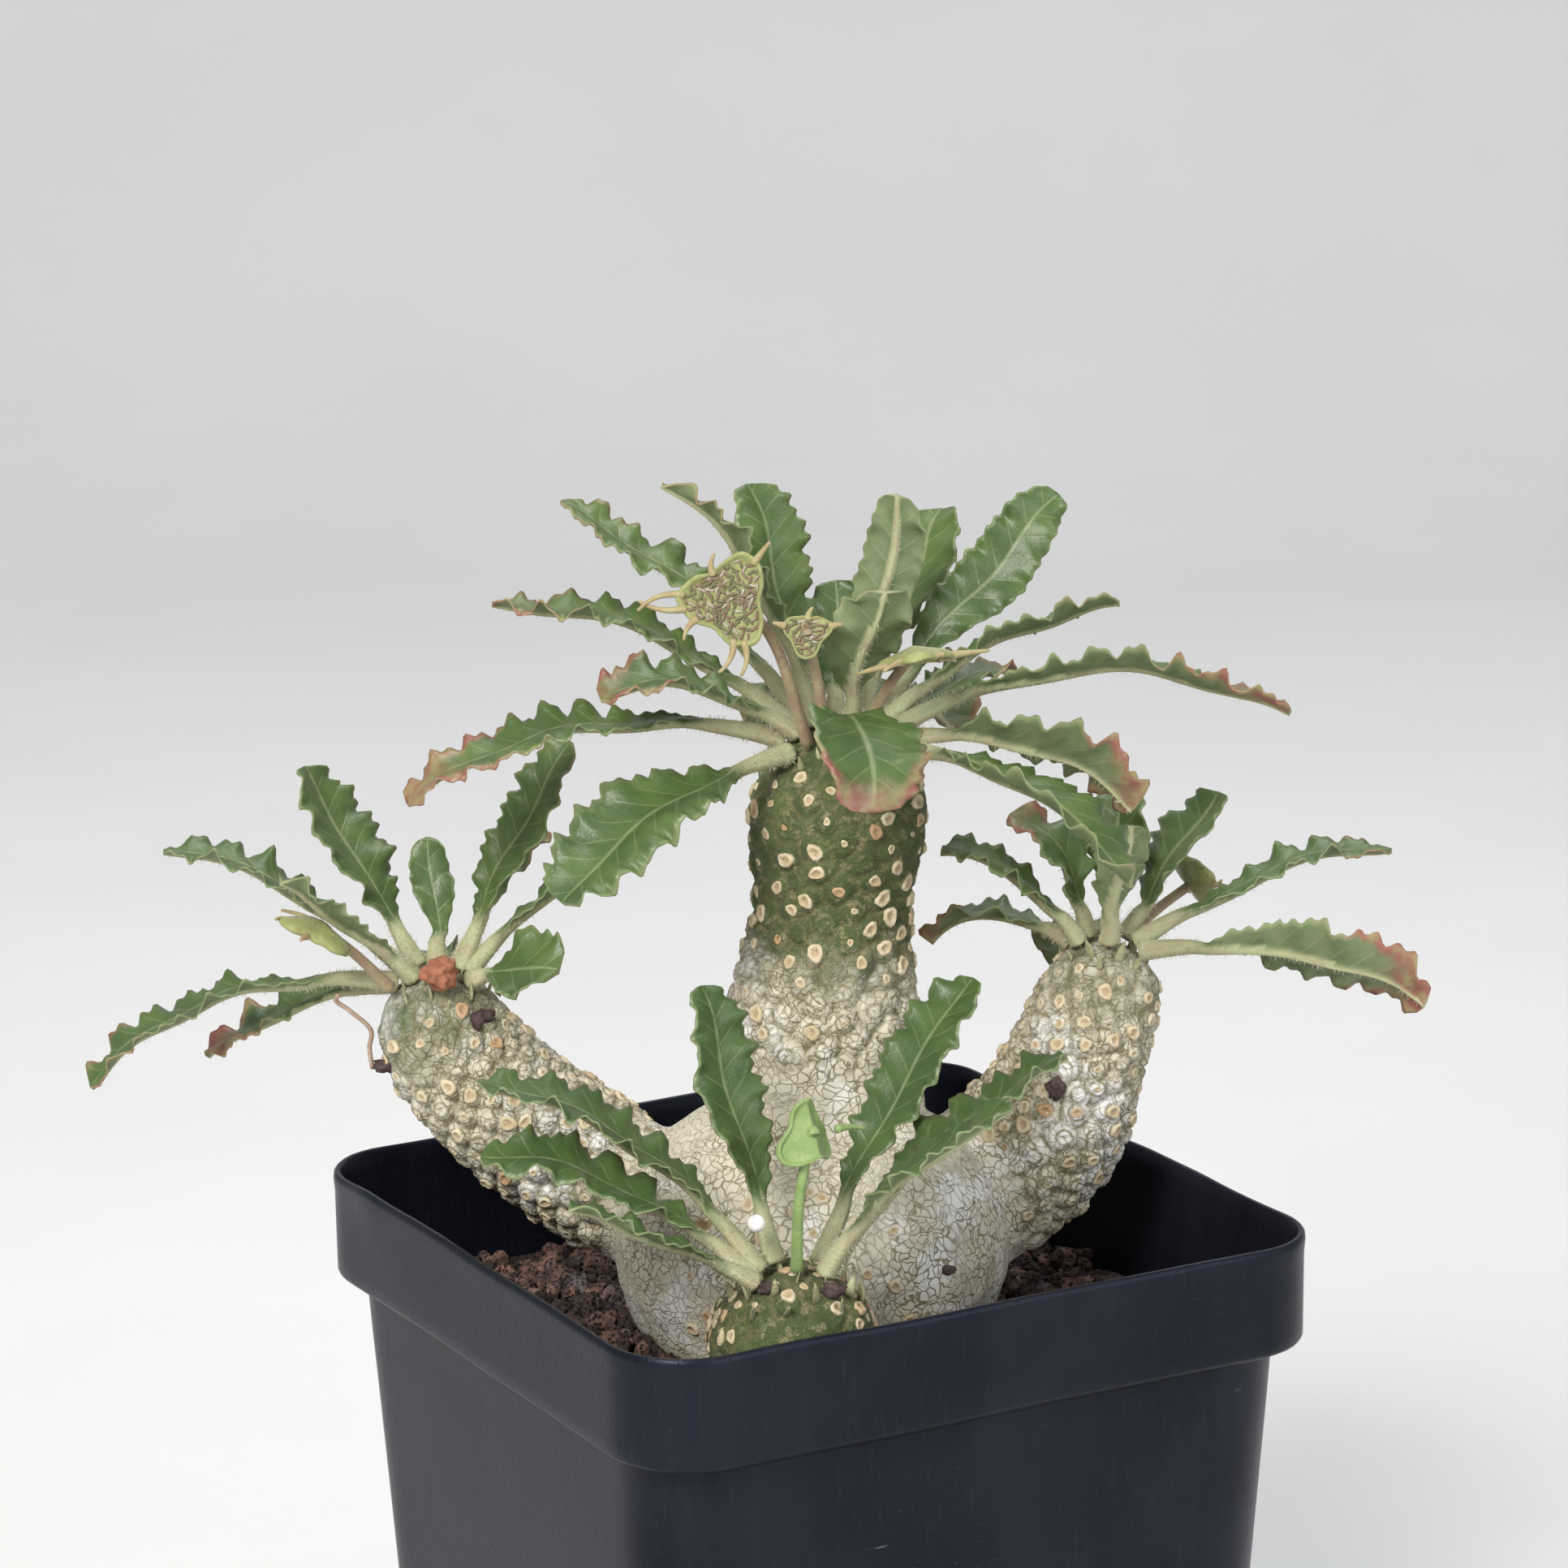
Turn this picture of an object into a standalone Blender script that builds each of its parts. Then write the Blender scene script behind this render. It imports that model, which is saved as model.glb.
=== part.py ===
"""Potted dorstenia: a swollen-stemmed plant growing in a square nursery pot.

Metres, +Z up. The origin is the centre of the pot's base, and the pot's
sides run along X and Y. The plant stands turned about Z, so its own sizes
are given in a plant frame: U across its widest spread, W from its front
to its back, and heights measured from the centre of its swollen base.
"""
import math
from collections import namedtuple

import bmesh
import bpy
from mathutils import Matrix, Vector

MM = 0.001

# ---- Pot ----
POT_RIM_WIDTH = 0.090
POT_HEIGHT = 0.090
POT_CORNER_RADIUS = 0.010
POT_WALL = 0.001
POT_TAPER = 0.055           # how far a side leans in for each metre of drop
BAND_HEIGHT = 0.014         # the upright band around the rim
BAND_STEP = 0.0027          # how far the body sits in under the band
STEP_RISE = 0.0015          # height of the slanted step under the band
FOOT_CHAMFER = 0.0015
DRAIN_HOLE_RADIUS = 0.0045
DRAIN_HOLE_OFFSET = 0.022   # of each hole's centre from the pot's two mid planes
DRAIN_HOLE_SIDES = 16
CORNER_STEPS = 5

# ---- Soil ----
SOIL_BELOW_RIM = 0.016
SOIL_BUMP = 0.0009
SOIL_WAVE_X = (310.0, 1.1)   # turn in radians for each metre, and its start
SOIL_WAVE_Y = (270.0, -0.4)
SOIL_WAVE_DIAGONAL = (520.0, 0.6)   # turn for each metre, and its share of the bump
SOIL_RINGS = 4

# ---- Clearances ----
FIT_GAP = 0.0003            # between solids that touch in the real plant
SEAT_GAP = 0.0006           # between a crown and the foot of a leaf on it

# ---- Swollen base, trunk and arms ----
PLANT_TURN = math.radians(-29.0)
BULB_RADIUS = 0.0235
BULB_BURIED = 0.0115        # how deep the swollen base sits in the soil
BULB_TOP_SHARE = 0.74       # the height of its upper half against its radius
BULB_U = 0.0003
BULB_W = -0.002
BULB_SEGMENTS = 24
BULB_RINGS = 14
TRUNK_RADIUS = 0.0103
TRUNK_HEIGHT = 0.0510       # from the swollen base's centre to the crown's centre
TRUNK_LEAN = 0.0039         # how far the crown leans towards +U
ROUND_END_ANGLES = (28.0, 52.0, 72.0, 87.0)

# A stem is a tube through (U, W, height, radius), and its last point is the
# centre of its rounded crown.
TRUNK_SHAPE = (             # (share of the height, share of the radius)
    (0.10, 1.36),
    (0.24, 1.26),
    (0.40, 1.19),
    (0.60, 1.01),
    (0.78, 0.88),
    (0.92, 0.98),
    (1.00, 1.00),
)
LEFT_ARM = (
    (-0.0120, 0.0010, 0.0000, 0.0078),
    (-0.0245, 0.0035, 0.0055, 0.0088),
    (-0.0345, 0.0040, 0.0130, 0.0082),
    (-0.0410, 0.0040, 0.0195, 0.0078),
    (-0.0435, 0.0040, 0.0235, 0.0075),
)
RIGHT_ARM = (
    (0.0120, 0.0020, 0.0000, 0.0090),
    (0.0235, 0.0060, 0.0050, 0.0098),
    (0.0290, 0.0060, 0.0115, 0.0093),
    (0.0325, 0.0060, 0.0195, 0.0077),
    (0.0352, 0.0060, 0.0265, 0.0068),
)
FRONT_STUB = (
    (-0.0020, -0.0120, -0.0050, 0.0090),
    (-0.0020, -0.0270, -0.0050, 0.0096),
    (-0.0018, -0.0350, -0.0030, 0.0095),
)
STEM_SIDES_TRUNK = 16
STEM_SIDES_ARM = 12
STEM_SAMPLES = 3            # tube rings between two points of a stem

# ---- Leaves ----
LEAF_THICKNESS = 0.0007
PETIOLE_WIDTH = 0.0018
PETIOLE_SHARE = 0.16        # the stalk's share of a leaf's length
WIDEST_SHIFT = 0.8          # below 1 the blade is widest nearer to its foot
BLADE_FULLNESS = 0.6        # below 1 the blade is fuller than a sine
DROOP_POWER = 1.2           # above 1 a leaf bends more towards its tip
LEAF_FOLD = math.radians(14.0)
LEAF_STEPS = 9
SEAT_LOW = 48.0             # elevation on the crown of a level leaf's foot
SEAT_RISE = 0.35            # and how much higher each degree of rise puts it
ROLL_SHARE = 0.4            # the share of a leaf's length that its twist takes

# Angles in degrees and lengths in millimetres. Heading 0 is +U, 90 is +W.
# Rise is the first slope, droop how far that falls off towards the tip, swing
# the turn of the heading, and roll the twist about the leaf's own length.
Leaf = namedtuple("Leaf", "name head heading rise droop length width swing roll")
LEAVES = (
    Leaf("leaf_main_01", "main", 190, 16, 51, 46, 8, 0, 0),
    Leaf("leaf_main_02", "main", 220, -5, 35, 36, 12, 0, 0),
    Leaf("leaf_main_03", "main", 278, 42, 125, 24, 13, 0, 0),
    Leaf("leaf_main_04", "main", 320, 5, 50, 38, 14, 0, 0),
    Leaf("leaf_main_05", "main", 350, 10, 55, 30, 12, 0, -25),
    Leaf("leaf_main_06", "main", 350, 31, 60, 49, 9, 0, -10),
    Leaf("leaf_main_07", "main", 24, 50, 10, 35, 8, 0, 50),
    Leaf("leaf_main_08", "main", 357, 46, 42, 32, 7, 0, 0),
    Leaf("leaf_main_09", "main", 35, 25, 30, 20, 9, 0, 0),
    Leaf("leaf_main_10", "main", 292, 68, 15, 20, 9, 0, 0),
    Leaf("leaf_main_11", "main", 355, 80, 0, 27, 7, 0, -80),
    Leaf("leaf_main_12", "main", 60, 49, 10, 31, 11, 0, 0),
    Leaf("leaf_main_13", "main", 175, 42, 44, 39, 8, 0, 0),
    Leaf("leaf_main_14", "main", 156, 53, 35, 40, 7, 0, 0),
    Leaf("leaf_main_15", "main", 200, 76, 38, 35, 8, 0, 0),
    Leaf("leaf_main_16", "main", 132, 67, 5, 29, 9, 0, 0),
    Leaf("leaf_main_17", "main", 202, 38, 50, 26, 10, 0, 0),
    Leaf("leaf_main_18", "main", 92, 60, 0, 17, 7, 0, 0),
    Leaf("leaf_main_19", "main", 100, 10, 50, 44, 10, 0, 0),
    Leaf("leaf_main_20", "main", 70, 10, 50, 40, 10, 0, 0),
    Leaf("leaf_left_01", "left", 175, 42, 33, 33, 8, 0, 0),
    Leaf("leaf_left_02", "left", 146, 54, 5, 28, 11, 0, 0),
    Leaf("leaf_left_03", "left", 213, 45, 15, 22, 8, 0, 0),
    Leaf("leaf_left_04", "left", 190, 10, 58, 40, 8, 0, 0),
    Leaf("leaf_left_05", "left", 172, -8, 35, 25, 7, 0, 0),
    Leaf("leaf_left_06", "left", 10, 68, 12, 30, 8, 0, 40),
    Leaf("leaf_left_07", "left", 100, 78, 5, 15, 5, 0, 0),
    Leaf("leaf_left_08", "left", 5, 48, 20, 27, 6, 0, 0),
    Leaf("leaf_left_09", "left", 52, 50, 20, 21, 5, 0, 0),
    Leaf("leaf_left_10", "left", 330, 25, 30, 13, 10, 0, 35),
    Leaf("leaf_left_11", "left", 95, 0, 45, 30, 8, 0, 0),
    Leaf("leaf_right_01", "right", 188, 57, 50, 21, 7, 0, 0),
    Leaf("leaf_right_02", "right", 160, 30, 75, 19, 9, 0, 0),
    Leaf("leaf_right_03", "right", 160, 80, 50, 18, 9, 0, 0),
    Leaf("leaf_right_04", "right", 30, 50, 0, 21, 12, 0, 0),
    Leaf("leaf_right_05", "right", 70, 65, 5, 18, 8, 0, 0),
    Leaf("leaf_right_06", "right", 5, 32, 27, 33, 6, 0, 0),
    Leaf("leaf_right_07", "right", 345, 10, 38, 35, 10, 0, -45),
    Leaf("leaf_right_08", "right", 290, 75, 5, 16, 6, 0, 0),
    Leaf("leaf_right_09", "right", 95, 0, 45, 30, 8, 0, 0),
    Leaf("leaf_front_01", "front", 175, 55, 46, 39, 10, 0, 0),
    Leaf("leaf_front_02", "front", 183, 42, 34, 34, 8, 0, 0),
    Leaf("leaf_front_03", "front", 206, 34, 15, 25, 6, 0, 0),
    Leaf("leaf_front_04", "front", 140, 72, 5, 32, 8.6, 0, 0),
    Leaf("leaf_front_05", "front", 36, 62, 20, 37, 9, 0, 0),
    Leaf("leaf_front_06", "front", 9, 55, 34, 36, 9, 0, 0),
    Leaf("leaf_front_07", "front", 342, 60, 38, 30, 9, 0, 0),
)

# ---- Flower heads and dried bits ----
FLOWER_THICKNESS = 0.0012
FLOWER_STALK_RADIUS = 0.0006
STALK_SAMPLES = 3
STALK_SIDES = 6
ARM_SIDES = 6
DISC_SIDES = 18
DISC_BACK_SHARE = 0.75      # the disc's back against its face
ARM_FOOT_RADIUS = 0.00055
ARM_TIP_RADIUS = 0.0003
ARM_OVERLAP = 0.001         # how far an arm's foot is sunk in its disc
LOBE_SHARE = 0.16           # how far the three corners of a disc stand out
SEED_RADIUS = 0.001
SEED_SEGMENTS = 10
SEED_RINGS = 6
DRY_STALK_RADIUS = 0.00035
DRY_FLOWER_RADIUS = 0.0019
DRY_FLOWER_LEVEL = 2

# The stalk's points are (U, W, height) in millimetres from the centre of its
# head's crown, and end at the disc's back. The face is the heading and
# elevation that the disc looks along, and each arm is (angle around the disc,
# length in millimetres).
Flower = namedtuple("Flower", "name head stalk face radius lobe_angle arms")
FLOWERS = (
    Flower("flower_main_01", "main",
           ((-3.6, -5.2, 8.9), (-6.7, -8.0, 20.0), (-9.7, -9.4, 25.0), (-12.4, -9.6, 26.7)), (262, 8), 5.0, 60,
           ((55, 2.5), (120, 1.5), (174, 4.5), (192, 4.5), (212, 2.0), (278, 3.0), (292, 3.0))),
    Flower("flower_main_02", "main", ((-1.3, -6.8, 8.4), (-2.3, -9.0, 16.5), (-3.5, -10.6, 22.5)),
           (265, 35), 2.7, 30, ((20, 0.8), (90, 0.8), (160, 0.8))),
    Flower("flower_main_03", "main", ((2.9, -4.0, 9.8), (5.6, -8.0, 16.0), (8.6, -11.0, 20.5)),
           (305, -72), 4.3, 0, ((15, 4.0), (345, 3.5), (150, 3.0), (200, 3.0), (90, 1.0))),
    Flower("flower_left_01", "left", ((-5.5, -4.0, 6.4), (-9.5, -5.5, 11.0), (-13.5, -6.5, 14.5)),
           (185, -62), 4.2, 60, ((170, 5.0), (195, 4.5), (260, 2.0), (20, 1.5), (90, 1.0))),
    Flower("flower_right_01", "right", ((3.3, 4.0, 6.4), (7.8, 8.0, 9.0), (11.6, 9.0, 11.5)),
           (30, 25), 3.6, 30, ((10, 3.5), (60, 2.0), (330, 2.0), (180, 1.5))),
    Flower("flower_front_01", "front", ((0.2, -2.0, 10.0), (0.6, -3.5, 19.0), (2.0, -3.5, 26.0)),
           (312, 20), 3.6, 90, ((0, 3.0), (90, 1.2), (180, 1.0))),
)
SEED_PLACE = (-6.0, -37.4, 12.6)
DRY_STALK = (
    (-51.6, 2.0, 19.5),
    (-51.9, 2.0, 22.0),
    (-51.7, 2.0, 24.3),
    (-54.2, 2.0, 26.7),
    (-55.6, 1.6, 27.9),
    (-55.3, 1.2, 28.8),
)
DRY_FLOWER_PLACE = (-43.0, -1.6, 32.0)

WELD_GAP = 1e-6
COLLECTION_NAME = "potted_dorstenia"
CUTTER_COLLECTION_NAME = "cutters"

# Colour, roughness and metallic value of each finish.
FINISHES = {
    "pot_plastic": ((0.018, 0.019, 0.024), 0.45, 0.0),
    "soil": ((0.060, 0.030, 0.020), 0.95, 0.0),
    "bark": ((0.480, 0.430, 0.320), 0.80, 0.0),
    "leaf": ((0.090, 0.200, 0.050), 0.50, 0.0),
    "flower": ((0.330, 0.400, 0.130), 0.65, 0.0),
    "seed": ((0.800, 0.760, 0.660), 0.45, 0.0),
    "dry_stalk": ((0.280, 0.190, 0.130), 0.90, 0.0),
}


# ---- Helpers ----

def direction(heading, elevation):
    """Unit vector of a heading and an elevation in degrees, in the plant frame."""
    turn = math.radians(heading)
    lift = math.radians(elevation)
    return Vector((math.cos(turn) * math.cos(lift), math.sin(turn) * math.cos(lift), math.sin(lift)))


def finish(name):
    """A Principled material from FINISHES, made once."""
    material = bpy.data.materials.get(name)
    if material is None:
        colour, roughness, metallic = FINISHES[name]
        material = bpy.data.materials.new(name)
        material.use_nodes = True
        shader = material.node_tree.nodes["Principled BSDF"]
        shader.inputs["Base Color"].default_value = (*colour, 1.0)
        shader.inputs["Roughness"].default_value = roughness
        shader.inputs["Metallic"].default_value = metallic
    return material


def mesh_object(name, mesh, collection, material=None, parent=None):
    """An object of a mesh, linked into a collection and placed under a parent."""
    obj = bpy.data.objects.new(name, mesh)
    collection.objects.link(obj)
    obj.parent = parent
    if material:
        mesh.materials.clear()
        mesh.materials.append(finish(material))
    return obj


def mesh_from(bm, name):
    """Turn a bmesh into a mesh whose faces point outwards."""
    bmesh.ops.recalc_face_normals(bm, faces=bm.faces)
    mesh = bpy.data.meshes.new(name)
    bm.to_mesh(mesh)
    bm.free()
    return mesh


def hide_cutter(obj):
    """Mark an object as a construction body, which is no part of the model."""
    obj.hide_render = True
    obj.display_type = "WIRE"


def boolean(obj, other, operation):
    """Give an object an exact Boolean with another."""
    modifier = obj.modifiers.new(operation.title(), "BOOLEAN")
    modifier.operation = operation
    modifier.object = other
    modifier.solver = "EXACT"


def smooth_route(points, samples):
    """Points of a smooth curve through the given ones, all of equal length."""
    route = [Vector(point) for point in points]
    padded = [route[0] * 2 - route[1]] + route + [route[-1] * 2 - route[-2]]
    result = []
    for before, start, end, after in zip(padded, padded[1:], padded[2:], padded[3:]):
        for step in range(samples):
            t = step / samples
            result.append(0.5 * (
                2 * start
                + (end - before) * t
                + (2 * before - 5 * start + 4 * end - after) * t ** 2
                + (3 * start - before - 3 * end + after) * t ** 3
            ))
    result.append(route[-1])
    return result


def tube_mesh(name, stations, sides):
    """A closed tube through (position, radius) stations, as a mesh."""
    curve = bpy.data.curves.new(name, "CURVE")
    curve.dimensions = "3D"
    curve.bevel_depth = 1.0
    curve.bevel_resolution = (sides - 4) // 2
    curve.use_fill_caps = True
    spline = curve.splines.new("POLY")
    spline.points.add(len(stations) - 1)
    for point, (position, radius) in zip(spline.points, stations):
        point.co = (*position, 1.0)
        point.radius = radius
    guide = bpy.data.objects.new(name, curve)
    bpy.context.scene.collection.objects.link(guide)
    graph = bpy.context.evaluated_depsgraph_get()
    mesh = bpy.data.meshes.new_from_object(guide.evaluated_get(graph))
    bpy.data.objects.remove(guide)
    bm = bmesh.new()
    bm.from_mesh(mesh)
    bmesh.ops.remove_doubles(bm, verts=bm.verts, dist=WELD_GAP)
    bmesh.ops.recalc_face_normals(bm, faces=bm.faces)
    bm.to_mesh(mesh)
    bm.free()
    return mesh


# ---- Pot and soil ----

def rounded_square(half, corner, z):
    """Corners of a rounded square ring, counter-clockwise."""
    ring = []
    for quarter in range(4):
        turn = math.radians(90.0 * quarter)
        for step in range(CORNER_STEPS + 1):
            angle = turn + math.radians(90.0 * step / CORNER_STEPS)
            centre = half - corner
            sign_x, sign_y = ((1, 1), (-1, 1), (-1, -1), (1, -1))[quarter]
            x = sign_x * centre + corner * math.cos(angle)
            y = sign_y * centre + corner * math.sin(angle)
            ring.append(Vector((x, y, z)))
    return ring


def pot_half_width(z):
    """Outer half width of the pot's body, below the band, at a height."""
    band_foot = POT_HEIGHT - BAND_HEIGHT
    return POT_RIM_WIDTH / 2 - BAND_STEP - POT_TAPER * (band_foot - z)


def loft(bm, rings, cap_first=False, cap_last=False):
    """Join rings of equal count with quads, and cap the ends if asked."""
    loops = [[bm.verts.new(point) for point in ring] for ring in rings]
    for lower, upper in zip(loops, loops[1:]):
        count = len(lower)
        for i in range(count):
            j = (i + 1) % count
            bm.faces.new((lower[i], lower[j], upper[j], upper[i]))
    if cap_first:
        bm.faces.new(list(reversed(loops[0])))
    if cap_last:
        bm.faces.new(loops[-1])
    return loops


def make_pot(collection, cutters):
    """The thin-walled pot: an open shell thickened inwards, with drain holes."""
    band_foot = POT_HEIGHT - BAND_HEIGHT
    rim_half = POT_RIM_WIDTH / 2
    sections = (
        (0.0, pot_half_width(0.0) - FOOT_CHAMFER),
        (FOOT_CHAMFER, pot_half_width(FOOT_CHAMFER)),
        (band_foot - STEP_RISE, pot_half_width(band_foot - STEP_RISE)),
        (band_foot, rim_half),
        (POT_HEIGHT, rim_half),
    )
    bm = bmesh.new()
    loft(bm, [rounded_square(half, POT_CORNER_RADIUS, z) for z, half in sections], cap_first=True)
    mesh = bpy.data.meshes.new("pot")
    bm.to_mesh(mesh)
    bm.free()
    pot = mesh_object("pot", mesh, collection, "pot_plastic")
    wall = pot.modifiers.new("Wall", "SOLIDIFY")
    wall.thickness = POT_WALL
    wall.offset = -1.0
    wall.use_even_offset = True
    for sign_x, sign_y in ((1, 1), (-1, 1), (-1, -1), (1, -1)):
        bm = bmesh.new()
        bmesh.ops.create_cone(bm, cap_ends=True, segments=DRAIN_HOLE_SIDES,
                              radius1=DRAIN_HOLE_RADIUS, radius2=DRAIN_HOLE_RADIUS, depth=POT_WALL * 4)
        drill = mesh_object("drain_drill", mesh_from(bm, "drain_drill"), cutters)
        drill.location = (sign_x * DRAIN_HOLE_OFFSET, sign_y * DRAIN_HOLE_OFFSET, POT_WALL / 2)
        hide_cutter(drill)
        boolean(pot, drill, "DIFFERENCE")
    return pot


def soil_height(x, y):
    """Height of the soil's lumpy top at a place."""
    along_x = math.sin(x * SOIL_WAVE_X[0] + SOIL_WAVE_X[1])
    along_y = math.cos(y * SOIL_WAVE_Y[0] + SOIL_WAVE_Y[1])
    turn, share = SOIL_WAVE_DIAGONAL
    return soil_top() + SOIL_BUMP * (along_x * along_y + share * math.sin((x + y) * turn))


def soil_top():
    """Mean height of the soil's top."""
    return POT_HEIGHT - SOIL_BELOW_RIM


def make_soil(collection, plant_cutter):
    """The soil block that fills the pot around the swollen base."""
    inset = POT_WALL + FIT_GAP
    corner = POT_CORNER_RADIUS - inset
    foot = POT_WALL + FIT_GAP
    shoulder = foot + 2 * FOOT_CHAMFER
    rings = [
        rounded_square(pot_half_width(foot) - inset - FOOT_CHAMFER, corner, foot),
        rounded_square(pot_half_width(shoulder) - inset, corner, shoulder),
    ]
    top_half = pot_half_width(soil_top()) - inset
    for step in range(SOIL_RINGS):
        share = 1.0 - step / SOIL_RINGS
        ring = rounded_square(top_half * share, corner * share, 0.0)
        for point in ring:
            point.z = soil_height(point.x, point.y)
        rings.append(ring)
    bm = bmesh.new()
    loft(bm, rings, cap_first=True, cap_last=True)
    bmesh.ops.triangulate(bm, faces=bm.faces)
    soil = mesh_object("soil", mesh_from(bm, "soil"), collection, "soil")
    boolean(soil, plant_cutter, "DIFFERENCE")
    return soil


# ---- Swollen base, trunk and arms ----

def trunk_route():
    """The trunk's points, from the swollen base up to the crown's centre."""
    return [
        (TRUNK_LEAN * share, 0.0, TRUNK_HEIGHT * share, TRUNK_RADIUS * wide)
        for share, wide in TRUNK_SHAPE
    ]


def stems():
    """Every stem's route and its number of sides, by the name of its head."""
    return {
        "main": (trunk_route(), STEM_SIDES_TRUNK),
        "left": (LEFT_ARM, STEM_SIDES_ARM),
        "right": (RIGHT_ARM, STEM_SIDES_ARM),
        "front": (FRONT_STUB, STEM_SIDES_ARM),
    }


def stem_stations(route, grow):
    """(position, radius) stations along a stem, closed by a rounded crown."""
    smooth = smooth_route(route, STEM_SAMPLES)
    stations = [(point.xyz, point.w + grow) for point in smooth]
    centre, radius = stations[-1]
    along = (centre - stations[-2][0]).normalized()
    for angle in ROUND_END_ANGLES:
        turn = math.radians(angle)
        stations.append((centre + along * radius * math.sin(turn), radius * math.cos(turn)))
    return stations


def grown_stems(name, collection, parent, grow=0.0):
    """The swollen base with its trunk and arms, joined, and grown by a margin."""
    bm = bmesh.new()
    bmesh.ops.create_uvsphere(bm, u_segments=BULB_SEGMENTS, v_segments=BULB_RINGS,
                              radius=BULB_RADIUS + grow)
    for vert in bm.verts:
        if vert.co.z > 0.0:
            vert.co.z *= BULB_TOP_SHARE
    bmesh.ops.translate(bm, verts=bm.verts, vec=(BULB_U, BULB_W, 0.0))
    body = mesh_object(name, mesh_from(bm, name), collection, "bark", parent)
    for head, (route, sides) in stems().items():
        tube = mesh_object(name + "_" + head, tube_mesh(head, stem_stations(route, grow), sides),
                           collection, None, parent)
        hide_cutter(tube)
        boolean(body, tube, "UNION")
    return body


# ---- Leaves ----

def crown(head):
    """Centre and radius of a head's rounded crown."""
    route, _ = stems()[head]
    *centre, radius = route[-1]
    return Vector(centre), radius


def half_width(leaf, share):
    """Half the leaf's width at a share of its length."""
    along = min(max((share - PETIOLE_SHARE) / (1.0 - PETIOLE_SHARE), 0.0), 1.0)
    blade = 0.0
    if 0.0 < along < 1.0:
        blade = leaf.width * MM / 2 * math.sin(math.pi * along ** WIDEST_SHIFT) ** BLADE_FULLNESS
    return max(PETIOLE_WIDTH / 2, blade)


def leaf_course(leaf, steps):
    """(centre, side, upper side) of a leaf at even steps from its foot to its tip."""
    centre, radius = crown(leaf.head)
    seat = SEAT_LOW + SEAT_RISE * leaf.rise
    place = centre + direction(leaf.heading, seat) * (radius + SEAT_GAP)
    course = []
    for step in range(steps + 1):
        share = step / steps
        heading = leaf.heading + leaf.swing * share
        along = direction(heading, leaf.rise - leaf.droop * share ** DROOP_POWER)
        side = direction(heading + 90.0, 0.0)
        twist = Matrix.Rotation(math.radians(leaf.roll) * min(share / ROLL_SHARE, 1.0), 3, along)
        side = twist @ side
        course.append((place.copy(), side, along.cross(side)))
        middle = (step + 0.5) / steps
        ahead = direction(leaf.heading + leaf.swing * middle, leaf.rise - leaf.droop * middle ** DROOP_POWER)
        place = place + ahead * (leaf.length * MM / steps)
    return course


def make_leaf(leaf, collection, parent):
    """One leaf: a folded sheet along its course, thickened."""
    bm = bmesh.new()
    bmesh.ops.create_grid(bm, x_segments=LEAF_STEPS, y_segments=2, size=0.5)
    course = leaf_course(leaf, LEAF_STEPS)
    for vert in bm.verts:
        step = round((vert.co.x + 0.5) * LEAF_STEPS)
        across = 2.0 * vert.co.y
        centre, side, upper = course[step]
        reach = across * half_width(leaf, step / LEAF_STEPS)
        vert.co = centre + side * reach * math.cos(LEAF_FOLD)
        vert.co += upper * abs(reach) * math.sin(LEAF_FOLD)
    mesh = mesh_from(bm, leaf.name)
    obj = mesh_object(leaf.name, mesh, collection, "leaf", parent)
    blade = obj.modifiers.new("Blade", "SOLIDIFY")
    blade.thickness = LEAF_THICKNESS
    blade.offset = 0.0
    return obj


# ---- Flower heads and dried bits ----

def millimetres(point):
    """A point given in millimetres, in metres."""
    return Vector(point) * MM


def lobed_radius(flower, turn):
    """Radius of a flower's three-cornered disc in a direction, in metres."""
    corner = math.cos(3.0 * (turn - math.radians(flower.lobe_angle)))
    return flower.radius * MM * (1.0 + LOBE_SHARE * corner)


def flower_disc(flower, collection, parent):
    """The disc that carries the florets, wider at its face, about its own Z."""
    bm = bmesh.new()
    bmesh.ops.create_cone(bm, cap_ends=True, segments=DISC_SIDES, radius1=DISC_BACK_SHARE,
                          radius2=1.0, depth=FLOWER_THICKNESS)
    for vert in bm.verts:
        reach = lobed_radius(flower, math.atan2(vert.co.y, vert.co.x))
        vert.co = Vector((vert.co.x * reach, vert.co.y * reach, vert.co.z))
    return mesh_object(flower.name, mesh_from(bm, flower.name), collection, "flower", parent)


def stalk_points(flower):
    """The points of a flower's stalk in the plant frame, in metres."""
    centre, _ = crown(flower.head)
    return [centre + millimetres(point) for point in flower.stalk]


def flower_frame(flower):
    """Matrix from a disc's own axes to the plant frame: Z along its face."""
    facing = direction(*flower.face)
    right = Vector((0.0, 0.0, 1.0)).cross(facing).normalized()
    turn = Matrix((right, facing.cross(right), facing)).transposed()
    place = stalk_points(flower)[-1] + facing * FLOWER_THICKNESS / 2
    return Matrix.Translation(place) @ turn.to_4x4()


def flower_arm(flower, angle, length):
    """One tapering arm that stands out from the disc's rim, as a mesh."""
    turn = math.radians(angle)
    foot = lobed_radius(flower, turn) - ARM_OVERLAP
    reach = length * MM + ARM_OVERLAP
    bm = bmesh.new()
    bmesh.ops.create_cone(bm, cap_ends=True, segments=ARM_SIDES, radius1=ARM_FOOT_RADIUS,
                          radius2=ARM_TIP_RADIUS, depth=reach)
    lay = Matrix.Rotation(turn, 4, "Z") @ Matrix.Rotation(math.radians(90.0), 4, "Y")
    out = Matrix.Rotation(turn, 4, "Z") @ Vector((foot + reach / 2, 0.0, 0.0))
    bmesh.ops.transform(bm, matrix=Matrix.Translation(out) @ lay, verts=bm.verts)
    return mesh_from(bm, flower.name + "_arm")


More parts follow.
